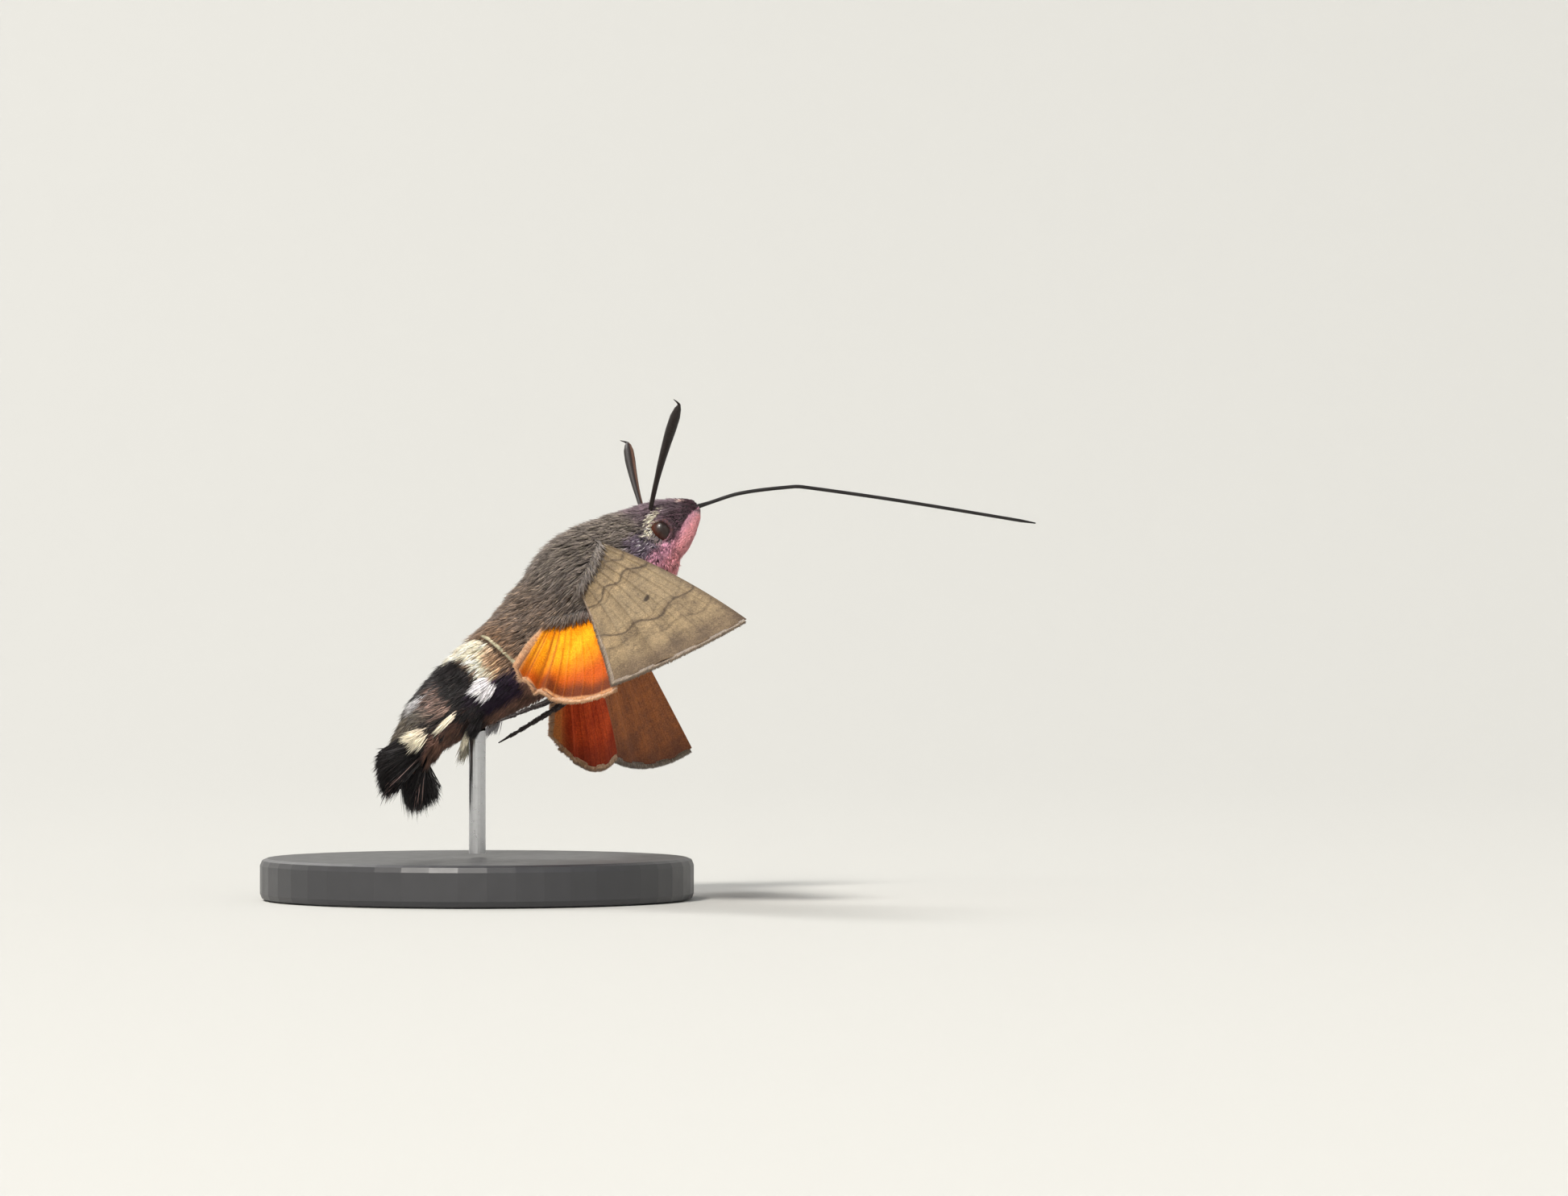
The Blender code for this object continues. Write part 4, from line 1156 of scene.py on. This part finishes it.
def make_fan(made):
    """The tail fan: broad overlapping locks, with single hairs over and between them."""
    draw = np.random.default_rng(14)
    count = FAN_LOCKS + FAN_HAIRS
    share = draw.uniform(FAN_CLEFT * 0.6, 1.02, count)
    lobe = draw.choice((-1, 1), count)
    tier = draw.uniform(-1, 1, count)
    depth = draw.uniform(0.05, 0.75, count)
    middle, side, up = fan_section(depth)
    shell = np.sqrt(np.maximum(0, 1 - (share * 0.9) ** 2))
    thick = along_table(FAN_DEPTHS, depth) * FAN_ROOT_DEPTH * 0.86
    root = moved(middle, (side, lobe * share * 0.88 * (FAN_ROOT_WIDTH - 0.25)), (up, tier * shell * thick))
    is_lock = np.arange(count) < FAN_LOCKS
    wild = ease(share, 0.6, 1)
    outline = FAN_ROUND * (share - FAN_LONGEST) ** 2 + 0.22 * fade(share, 0.08, 0.36)
    ragged = np.where(draw.uniform(0, 1, count) < 0.08, 1.1, 1)
    reach = FAN_LENGTH * (1 - outline) * draw.uniform(0.8, 1.03, count)
    reach = reach * (1 - 0.08 * np.abs(tier)) * np.where(is_lock, 0.94, ragged)
    reach = reach * (1 + wild * draw.uniform(-0.2, 0.09, count))
    spread = lobe * share * FAN_HALF_WIDTH + draw.normal(0, 0.12, count) * (1 + wild)
    reach = reach * (1 + 0.045 * ripple(np.stack((spread, tier), -1), 0.55, 19))
    sway = tier * 0.32 - (0.3 * share**2 - 0.16) + 0.3 * reach / FAN_LENGTH
    tip = moved(fan_section(0.0)[0], (ALONG, reach), (ACROSS, spread), (UPPER, sway))
    bend = moved((root + tip) / 2, (UPPER, tier * 0.22 + 0.12))
    width = np.where(is_lock, draw.uniform(0.16, 0.3, count), draw.uniform(0.05, 0.09, count))
    thick = np.where(is_lock, 0.06, 0.04)
    normal = unit(moved(UPPER * np.sign(tier)[:, None], (ACROSS, draw.normal(0, 0.25, count))))
    tone = draw.uniform(0, 1, count)
    ink = mix(INK["black"], INK["dark"], 0.5 * ease(tone, 0.65, 1)) * draw.uniform(0.35, 0.85, count)[:, None]
    # Pale pink ends on the lower tier of the black fan: painted reflected pink light.
    reflected_pink_end = (tone > 0.8) & (share > 0.42) & (share < 0.62) & (tier < -0.2)
    # Tips a little lighter than roots: painted shade deep in the fan.
    light = layered(
        ink * 1.15,
        # Rose-grey on a few hairs near each lobe's middle: painted highlights on the black fan.
        (0.3 * ease(tone, 0.92, 1) * fade(share, 0.15, 0.55), INK["rose_grey"]),
        (0.8 * reflected_pink_end, INK["pale_pink"]),
    )
    uv = np.stack((0.76 + 0.2 * (0.5 + lobe * share * 0.48), 0.4 + 0.4 * depth + 0.1 * (tier > 0)), -1)
    tufts = Tufts(root, bend, tip, normal, width, thick, ink, light, uv)
    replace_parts(add_tufts("fan", made, tufts, LONG_RINGS)[0], "tail_fan")


def bezier(points, t):
    start, middle, end = (np.array(point) for point in points)
    t = np.asarray(t)[..., None]
    return start * (1 - t) ** 2 + middle * 2 * t * (1 - t) + end * t**2


def wing_surface(shape, side, u, v):
    """The middle of a wing's membrane, its upper direction and the flat places in mm.

    u runs across the wing from its front edge to its rear one, and v out from its root.
    """
    root = np.array(shape["root"]) * (1, SIDES[side], 1)
    tip, corner = (np.array(point) for point in shape[side])
    (tip_x, tip_y), (corner_x, corner_y) = shape["costa"][2], shape["inner"][2]
    area = tip_x * corner_y - tip_y * corner_x
    span = ((tip - root) * corner_y - (corner - root) * tip_y) / area
    chord = ((corner - root) * tip_x - (tip - root) * corner_x) / area
    upper = unit(np.cross(span, chord))
    upper = upper if upper[2] > 0 else -upper
    costa, inner = ((np.array(shape[name][0]), np.array(shape[name][2])) for name in ("costa", "inner"))
    flat = (
        bezier(shape["costa"], v) * (1 - u)[..., None]
        + bezier(shape["inner"], v) * u[..., None]
        + mix(costa[0], inner[0], u) * (1 - v)[..., None]
        + bezier(shape["margin"], u) * v[..., None]
        - mix(mix(*costa, v), mix(*inner, v), u)
    )
    rise = shape["camber"] * 4 * u * (1 - u) * v + shape["droop"] * v**2 * (1 - u)
    rise = rise + shape["pleat"] * v**2 * along_table(PLEAT_SHAPE, u)
    return moved(root, (span, flat[..., 0]), (chord, flat[..., 1]), (upper, rise)), upper, flat


def vein_field(shape, u, v):
    """How near each place is to a vein, from 0 to 1, for the main veins and the finer ones between them."""
    across = np.linalg.norm(bezier(shape["inner"], v) - bezier(shape["costa"], v), axis=-1)
    main = (0.012, *shape["veins"])
    veins = np.zeros_like(u)
    for vein in main:
        meander = vein + 0.006 * np.sin(v * 9 + vein * 30)
        size = 0.085 * (1.15 - 0.75 * v)
        veins = np.maximum(veins, np.exp(-(((u - meander) * across / size) ** 2)) * (1 - 0.35 * v))
    for vein in [(low + high) / 2 for low, high in zip(main[1:], main[2:])]:
        meander = vein + 0.01 * np.sin(v * 7 + vein * 20) * (1 - v) + 0.03 * (1 - ease(v, 0.4, 0.62))
        size = 0.055 * (1.2 - 0.8 * v)
        near = np.exp(-(((u - meander) * across / size) ** 2)) * ease(v, 0.4, 0.5) * 0.7
        veins = np.maximum(veins, near)
    return veins


def forewing_ink(u, v, flat, veins, top, draw):
    """Grey-brown above with dark wavy lines and a dot, and rusty brown below."""
    ink = WING_INK["forewing"]
    grain = draw.uniform(0, 1, u.shape) - 0.5
    cloud = ripple(flat, 2.6, 31) * 0.5 + ripple(flat, 0.7, 32) * 0.35
    streaks = ripple(np.stack((u * 30, v * 2.4), -1), 3.0, 37 if top else 38)
    if not top:
        depth = np.clip(0.25 + 0.5 * v + cloud * 0.3 + 0.08 * streaks + 0.4 * grain, 0, 1)
        return layered(
            mix(ink["under"], ink["under_far"], depth),
            (0.6 * fade(v, 0.15, 0.6), ink["under_root"]),
            (0.6 * ease(v, 0.82, 1), ink["under_margin"]),
            (0.35 * veins, ink["under_vein"]),
        )
    colour = mix(ink["dark"], ink["light"], np.clip(0.55 + cloud * 0.35 + 0.1 * streaks + 0.5 * grain, 0, 1))
    colour = mix(colour, ink["root"], 0.5 * fade(v, 0.04, 0.3))
    for at, size, depth in FOREWING_LINES:
        wave = at + 0.02 * np.sin(u * 17 + at * 40) + 0.035 * np.sin(u * 4.3 + at * 9) + 0.006 * cloud
        colour = mix(colour, ink["line"], depth * np.exp(-(((v - wave) / size) ** 2)))
    dot = np.linalg.norm(flat - FOREWING_DOT, axis=-1)
    return layered(
        colour,
        (0.25 * between(v, (0.345, 0.37), (0.61, 0.64)), ink["band"]),
        (0.6 * ease(v + 0.02 * cloud, 0.8, 0.97), ink["margin"]),
        (0.5 * fade(u, 0.01, 0.05), ink["front"]),
        (0.85 * fade(dot, 0.22, 0.36), ink["dot"]),
        (0.42 * veins, ink["vein"]),
    )


def hindwing_ink(u, v, flat, veins, top, draw):
    """Orange above with a rusty band inside the pale fringe, and red-brown below."""
    ink = WING_INK["hindwing"]
    grain = draw.uniform(0, 1, u.shape) - 0.5
    cloud = ripple(flat, 2.0, 33) * 0.5 + ripple(flat, 0.6, 34) * 0.3
    if not top:
        return layered(
            mix(ink["under"], ink["under_dark"], np.clip(0.45 + cloud * 0.5 + 0.4 * grain, 0, 1)),
            (0.6 * ease(v, 0.8, 0.97), ink["under_margin"]),
            (0.6 * ease(u, 0.78, 0.97) + 0.3 * fade(v, 0.05, 0.35), ink["under_rear"]),
            (0.35 * veins, ink["under_vein"]),
        )
    band = ease(v + 0.015 * np.sin(u * 21), 0.78, 0.92) * fade(u, 0.66, 0.86)
    return layered(
        mix(ink["dark"], ink["light"], np.clip(0.5 + cloud * 0.5 + 0.4 * grain, 0, 1)),
        (0.97 * ease(v + 0.34 * (0.5 - u), 0.5, 0.84), ink["rust"]),
        (0.95 * band, ink["band"]),
        (0.85 * ease(v, 0.965, 0.985), ink["margin"]),
        # Painted shade in the creases of the folds.
        (0.85 * along_table(FOLD_SHADE, u) * ease(v, 0.12, 0.35), ink["fold"]),
        (0.7 * ease(u, 0.96, 0.99), ink["rear"]),
        (0.6 * fade(v, 0.04, 0.16), ink["root"]),
        (0.3 * veins, ink["vein"]),
    )


def leaf_faces(columns, rows, flipped):
    """The quads of a thin leaf: its upper grid, its lower grid and the wall round its rim."""
    count = columns * rows
    top = ring_faces(columns, rows, closed=False)
    rim = np.concatenate(
        (
            np.arange(rows),
            np.arange(1, columns) * rows + rows - 1,
            (columns - 1) * rows + np.arange(rows - 2, -1, -1),
            np.arange(columns - 2, 0, -1) * rows,
        )
    )
    after = np.roll(rim, -1)
    wall = np.stack((rim + count, after + count, after, rim), -1)
    faces = np.concatenate((top, top[:, ::-1] + count, wall))
    return faces[:, ::-1] if flipped else faces


def make_wing(kind, side, made, fur_made):
    """A wing's membrane with veins and creases, its fringe, and the body's hair over its root."""
    shape = WINGS[kind]
    draw = np.random.default_rng(41 + len(side) + 3 * len(kind))
    columns, rows = shape["columns"], shape["rows"]
    u, v = np.meshgrid(np.linspace(0, 1, columns), np.linspace(0, 1, rows), indexing="ij")
    middle, upper, flat = wing_surface(shape, side, u, v)
    middle = moved(middle, (upper, 0.05 * ripple(np.stack((u * 22, v * 3), -1), 5.0, 35) * v))
    veins = vein_field(shape, u, v)
    inside = np.minimum(1, np.minimum(np.minimum(u, 1 - u) * 40, (1 - v) * 60))
    half = MEMBRANE["thin"] + MEMBRANE["vein"] * veins + MEMBRANE["root"] * fade(v, 0, 0.25)
    half = half * (MEMBRANE["edge"] + (1 - MEMBRANE["edge"]) * inside)
    above, below = (moved(middle, (upper, face * half)).reshape(-1, 3) for face in (1, -1))
    paint_wing = forewing_ink if kind == "forewing" else hindwing_ink
    ink = [paint_wing(u, v, flat, veins, top, draw).reshape(-1, 3) for top in (True, False)]
    first, across, along = above[0], above[rows], above[1]
    flipped = np.cross(along - first, across - first) @ upper < 0
    uv = np.stack((u * 0.45, v * 0.95), -1).reshape(-1, 2) + UV_MARGIN
    uv = np.concatenate((uv, uv + (0.5, 0)))
    points = np.concatenate((above, below))
    name = f"{kind}_{side}"
    mesh = mesh_from(f"{name}_membrane", points, leaf_faces(columns, rows, flipped), np.concatenate(ink), uv)
    add_object(f"{name}_membrane", mesh, made, (name,))
    make_fringe(kind, side, shape, fur_made, draw)
    make_root_hair(kind, side, shape, fur_made)


def make_root_hair(kind, side, shape, made):
    """Body hair that runs out over the root of a wing, on both of its faces."""
    draw = np.random.default_rng(51 + len(side) + 3 * len(kind))
    count = WING_ROOT_HAIRS
    u = draw.uniform(0.0, 0.97, count)
    tries = np.linspace(0, shape["leaves_body_by"], 40)
    places = wing_surface(shape, side, *np.broadcast_arrays(u[:, None], tries[None]))[0]
    outside = body_share(places.reshape(-1, 3)).reshape(count, -1) > ROOT_SHARE
    leaves = tries[outside.argmax(1)] + draw.uniform(-0.03, 0.015, count)
    root, upper, _ = wing_surface(shape, side, u, leaves)
    ahead, _, _ = wing_surface(shape, side, u, leaves + 0.03)
    normal = upper * draw.choice((-1, 1), count)[:, None]
    s, angle = locate(root)
    _, _, tailward = skin_frame(s, angle)
    lie = unit(moved(unit(ahead - root), (tailward, draw.uniform(0.1, 0.5, count))))
    lie = unit(square_to(lie, normal))
    length = draw.uniform(0.8, 1.9, count)
    root = moved(root, (normal, draw.uniform(0.05, 0.3, count)))
    tip = moved(root, (lie, length), (normal, draw.uniform(-0.02, 0.14, count)))
    bend = moved(root, (lie, length * 0.45), (normal, draw.uniform(0.08, 0.26, count)))
    ink = coat_colour(s, angle, draw) * draw.uniform(0.7, 1.25, count)[:, None]
    width = draw.uniform(0.06, 0.11, count)
    uv = body_uv(s, angle)
    # Roots darker than tips: painted shade deep in the hair.
    tufts = Tufts(root, bend, tip, normal, width, width * HAIR_FLATNESS, ink * 0.6, ink * 1.15, uv)
    add_tufts(f"{kind}_{side}_root_hair", made, tufts)


def make_fringe(kind, side, shape, made, draw):
    """Scales along the outer and rear edges of a wing."""
    outer, rear = shape["outer_scales"], shape["rear_scales"]
    count = outer + rear
    u = np.concatenate((draw.uniform(0.02, 1, outer), np.ones(rear)))
    v = np.concatenate((np.ones(outer), draw.uniform(0.2, 1, rear)))
    middle, upper, _ = wing_surface(shape, side, u, v)
    inner, _, _ = wing_surface(shape, side, u * 0.985, v * 0.985)
    away = unit(middle - inner)
    away = unit(away + draw.normal(0, 0.1, away.shape))
    length = draw.uniform(0.2, 0.42, count) * np.where(v < 1, ease(v, 0.1, 0.7), 1) + 0.05
    root = moved(middle, (away, -draw.uniform(0.05, 0.15, count)))
    tip = moved(middle, (away, length), (upper, draw.normal(0, 0.03, count)))
    bend = moved((root + tip) / 2, (upper, draw.normal(0, 0.01, count)))
    normal = np.broadcast_to(upper, root.shape)
    ink = mix(*FRINGE_INK[kind], draw.uniform(0, 1, count))
    width = draw.uniform(0.07, 0.11, count)
    uv = np.stack((UV_MARGIN + 0.9 * u, 0.98 * v), -1)
    # Roots darker than tips: painted shade in the fringe.
    tufts = Tufts(root, bend, tip, normal, width, width * 0.25, ink * 0.8, ink, uv)
    add_tufts(f"{kind}_{side}_fringe", made, tufts)


def tube(points, radii, sides, ribs=0.0, rib_length=0.2):
    """Rings round a smooth path, and the directions outward from it."""
    way = unit(np.gradient(points, axis=0))
    guide = np.array((0.31, 0.9, -0.2))
    side = unit(np.cross(way, guide))
    up = np.cross(side, way)
    out = swung(side[:, None], up[:, None], np.linspace(0, math.tau, sides, endpoint=False))
    run = np.concatenate(((0,), np.cumsum(np.linalg.norm(np.diff(points, axis=0), axis=1))))
    girth = radii * (1 + ribs * np.sin(run / rib_length * math.tau))
    return points[:, None] + out * girth[:, None, None], out


def add_tube(name, rings, ink, made, node):
    """A closed tube of triangles through rings of points, in the place of a node."""
    rows, sides = rings.shape[:2]
    count = rows * sides
    points = np.concatenate((rings.reshape(-1, 3), rings[[0, -1]].mean(1)))
    quads = ring_faces(rows, sides)
    here = np.arange(sides)
    after = (here + 1) % sides
    last = count - sides
    start = np.stack((np.full(sides, count), after, here), -1)
    stop = np.stack((np.full(sides, count + 1), last + here, last + after), -1)
    triangles = np.concatenate((quads[:, :3], quads[:, [0, 2, 3]], start, stop))
    first = points[triangles[0]]
    if np.cross(first[1] - first[0], first[2] - first[0]) @ (first.mean(0) - rings[0].mean(0)) < 0:
        triangles = triangles[:, ::-1]
    ink = np.concatenate((ink.reshape(-1, 3), ink[[0, -1]].mean(1)))
    row, column = np.divmod(np.arange(count), sides)
    uv = 0.05 + 0.9 * np.stack((column / sides, row / rows), -1)
    uv = np.concatenate((uv, uv[[0, -1]]))
    add_object(name, mesh_from(name, points, triangles, ink, uv), made, (node,))


def make_tongue(made):
    """The stretched tongue, finely ringed, with the groove along its sides."""
    rows = by_distance([(x, 0.0, z) for x, z in TONGUE_STATIONS], 3)
    end = rows[-1, 0]
    s = np.linspace(0, end, 420)
    points = smooth_rows(rows, s)
    radii = np.interp(s, (0, 1.5, 16, 24.5, end), (0.22, 0.14, 0.13, 0.12, 0.05))
    rings, out = tube(points, radii, 20, 0.035, 0.16)
    groove = 1 - 0.22 * np.exp(-((out[..., 1] / 0.22) ** 2))
    rings = points[:, None] + (rings - points[:, None]) * groove[..., None]
    ink = np.broadcast_to(INK["tongue"], rings.shape) * (1 + 0.3 * np.sin(s * 40)[:, None, None])
    add_tube("tongue_coil", rings, ink, made, "tongue")


def make_feeler(side, made):
    """A ringed feeler, club-shaped, with a small hook at its end."""
    sign = SIDES[side]
    root = np.array(FEELER_ROOT) * (1, sign, 1)
    tip = np.array(FEELER_TIP[side])
    along = unit(tip - root)
    forward = unit(np.array((1, 0, 0)) - along * along[0])
    t = np.linspace(0, 1, 200)
    points = root + (tip - root) * t[:, None] + forward * (FEELER_BOW * (t**2 - t))[:, None]
    hook = np.linspace(0, 1, 14)[1:]
    points = np.concatenate((points, moved(points[-1], (along, 0.42 * hook), (forward, -0.5 * hook**1.6))))
    share = np.concatenate((t, 1 + hook * 0.06))
    rings, out = tube(points, along_table(FEELER_GIRTH, share), 24, 0.05, np.linalg.norm(tip - root) / 60)
    inner = ease(out @ unit(np.array((0.75, -sign, 0.1))), 0.72, 0.92)
    ink = mix(INK["feeler"], INK["feeler_face"], 0.8 * inner * ease(share, 0.05, 0.3)[:, None])
    add_tube(f"feeler_{side}", rings, ink, made, f"antenna_{side}")


def make_leg(pair, side, made, fur_made):
    """A leg with its joints, and the scales that lie along it."""
    draw = np.random.default_rng(len(pair) * 7 + len(side))
    stations = [
        (*body_point(s, math.radians(degrees), lift), radius) for s, degrees, lift, radius in LEG_ROOTS[pair]
    ]
    if pair == "hind":
        stations += HIND_LEG_ENDS[side]
    rows = by_distance(np.array(stations) * (1, SIDES[side], 1, 1), 3)
    s = np.linspace(0, rows[-1, 0], LEG_ROWS)
    values = smooth_rows(rows, s)
    path = values[:, :3]
    share = s / s[-1]
    joints = 1 - 0.3 * sum(np.exp(-(((share - at) / 0.012) ** 2)) for at in LEG_JOINTS)
    radii = values[:, 3] * np.interp(share, (0, 0.3, 0.6, 0.9, 1), (1, 0.85, 0.62, 0.5, 0.2)) * joints
    rings, out = tube(path, radii, LEG_SIDES)
    pale = 0.5 * fade(share, 0.15, 0.45) if pair != "hind" else 0 * share
    ink = mix(INK["leg"], INK["chest"], pale)
    name = f"leg_{pair}_{side}"
    add_tube(f"{name}_limb", rings, np.broadcast_to(ink[:, None], rings.shape), made, name)
    row = draw.integers(4, 150, LEG_SCALES)
    column = draw.integers(0, LEG_SIDES, LEG_SCALES)
    root, normal = rings[row, column], out[row, column]
    way = unit(np.gradient(path, axis=0))[row]
    length = draw.uniform(0.16, 0.3, LEG_SCALES) * np.interp(share[row], (0, 0.5, 1), (1.3, 1, 0.6))
    tip = moved(root, (unit(moved(way, (normal, draw.uniform(0.05, 0.2, LEG_SCALES)))), length))
    bend = moved((root + tip) / 2, (normal, 0.03))
    shade = ink[row] * draw.uniform(0.7, 1.5, LEG_SCALES)[:, None]
    width = draw.uniform(0.06, 0.1, LEG_SCALES)
    uv = 0.05 + 0.9 * np.stack((column / LEG_SIDES, row / LEG_ROWS), -1)
    # Roots darker than tips: painted shade among the scales.
    tufts = Tufts(root, bend, tip, normal, width, width * 0.3, shade * 0.8, shade * 1.2, uv)
    add_tufts(f"{name}_scales", fur_made, tufts)


def make_eye(side, made):
    """A dark glossy eye with a paler edge."""
    mirror = (1, SIDES[side], 1)
    tilt, turn = np.meshgrid(
        np.linspace(0.02, math.pi - 0.02, 40), np.linspace(0, math.tau, 72, endpoint=False), indexing="ij"
    )
    ball = np.stack((np.sin(tilt) * np.cos(turn), np.sin(tilt) * np.sin(turn), np.cos(tilt)), -1)
    facing = ball @ unit(np.array((0.45, 0.85, 0.1)) * mirror)
    ink = mix(INK["eye"], INK["eye_middle"], ease(facing, 0.3, 0.9))
    ink = mix(ink, INK["eye_edge"], 0.6 * fade(facing, 0.05, 0.45))
    points = ball * EYE_RADIUS + EYE_CENTRE * mirror
    add_tube(f"eye_{side}_globe", points, ink, made, f"eye_{side}")


def make_stand_looks():
    """A dark painted base and a bright steel rod."""
    for node, *finish in STAND_FINISHES:
        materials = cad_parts[node].data.materials
        materials.clear()
        materials.append(metal(*finish))


def make_floor():
    """A pale floor that sweeps up gently on every side."""
    climb = np.radians(np.linspace(0, 80, 30))[:, None]
    turn = np.linspace(0, math.tau, 128, endpoint=False)
    radius = FLOOR_FLAT + FLOOR_SWEEP * np.sin(climb)
    height = FLOOR_SWEEP * (1 - np.cos(climb)) + 0 * turn
    points = np.stack((radius * np.cos(turn), radius * np.sin(turn), height), -1).reshape(-1, 3)
    faces = [list(range(len(turn))), *ring_faces(len(climb), len(turn))[:, [1, 0, 3, 2]].tolist()]
    mesh = bpy.data.meshes.new("studio_floor")
    mesh.from_pydata(points.tolist(), [], faces)
    mesh.shade_smooth()
    floor = bpy.data.objects.new("studio_floor", mesh)
    bpy.context.scene.collection.objects.link(floor)
    made, _, shader = new_material("pale_floor")
    set_inputs(shader, Base_Color=FLOOR_COLOUR, Roughness=0.9, Specular_IOR_Level=0.1)
    mesh.materials.append(made)


def make_lights():
    """Three soft lamps and a faint pale sky."""
    for name, place, size, power, colour in LAMPS:
        light = bpy.data.lights.new(name, "AREA")
        light.shape = "DISK"
        light.size = size
        light.energy = power
        light.color = colour
        lamp = bpy.data.objects.new(name, light)
        lamp.location = place
        lamp.rotation_euler = (LAMP_AIM - lamp.location).to_track_quat("-Z", "Y").to_euler()
        bpy.context.scene.collection.objects.link(lamp)
    world = bpy.data.worlds.new("studio")
    world.use_nodes = True
    set_inputs(world.node_tree.nodes["Background"], Color=SKY_COLOUR, Strength=0.32)
    bpy.context.scene.world = world
    bpy.context.scene.view_settings.view_transform = "Standard"


def make_camera():
    """At the photo's angle: level, a little round from the moth's side, with the photo's framing."""
    right = np.array((math.cos(CAMERA_YAW), -math.sin(CAMERA_YAW), 0))
    ahead = np.array((math.sin(CAMERA_YAW), math.cos(CAMERA_YAW), 0))
    across, above = CAMERA_MIDDLE
    place = MOTH_ORIGIN + right * across + np.array((0, 0, above)) - ahead * CAMERA_DISTANCE
    camera = bpy.data.objects.new("camera", bpy.data.cameras.new("camera"))
    camera.data.lens = SENSOR_WIDTH * CAMERA_DISTANCE / FRAME_WIDTH
    camera.data.clip_start = 0.01
    camera.location = place * MM
    camera.rotation_euler = (math.pi / 2, 0, -CAMERA_YAW)
    bpy.context.scene.collection.objects.link(camera)
    bpy.context.scene.camera = camera


fur = material("fur", (3000, 0.85, 1.15), 0.62, 0.25, sheen=0.15)
scales = material("wing_scales", (9000, 0.72, 1.28), 0.7, 0.06, bump=("cells", 9000, 0.00003))
shell = material("feeler_shell", (5000, 0.8, 1.2), 0.5, 0.35, bump=("noise", 6000, 0.00002))
tongue_shell = material("tongue_shell", (5000, 0.8, 1.2), 0.4, 0.35, bump=("noise", 5000, 0.00001))
eye_glass = material("eye_glass", (2500, 0.7, 1.3), 0.3, 0.35, coat=0.15, bump=("cells", 16000, 0.00001))
skin_made = material("skin", (2500, 0.6, 1.2), 0.8, 0.1, bump=("noise", 5000, 0.0001))

make_skin(skin_made)
make_body_coat(fur)
make_ring(fur)
make_palp_coat(fur)
make_brushes(fur)
make_eye_rims(fur)
make_fan(fur)
for wing_side in SIDES:
    for wing_kind in WINGS:
        make_wing(wing_kind, wing_side, scales, fur)
    make_feeler(wing_side, shell)
    make_eye(wing_side, eye_glass)
    for leg_pair in LEG_ROOTS:
        make_leg(leg_pair, wing_side, shell, fur)
make_tongue(tongue_shell)
make_stand_looks()
make_floor()
make_lights()
make_camera()
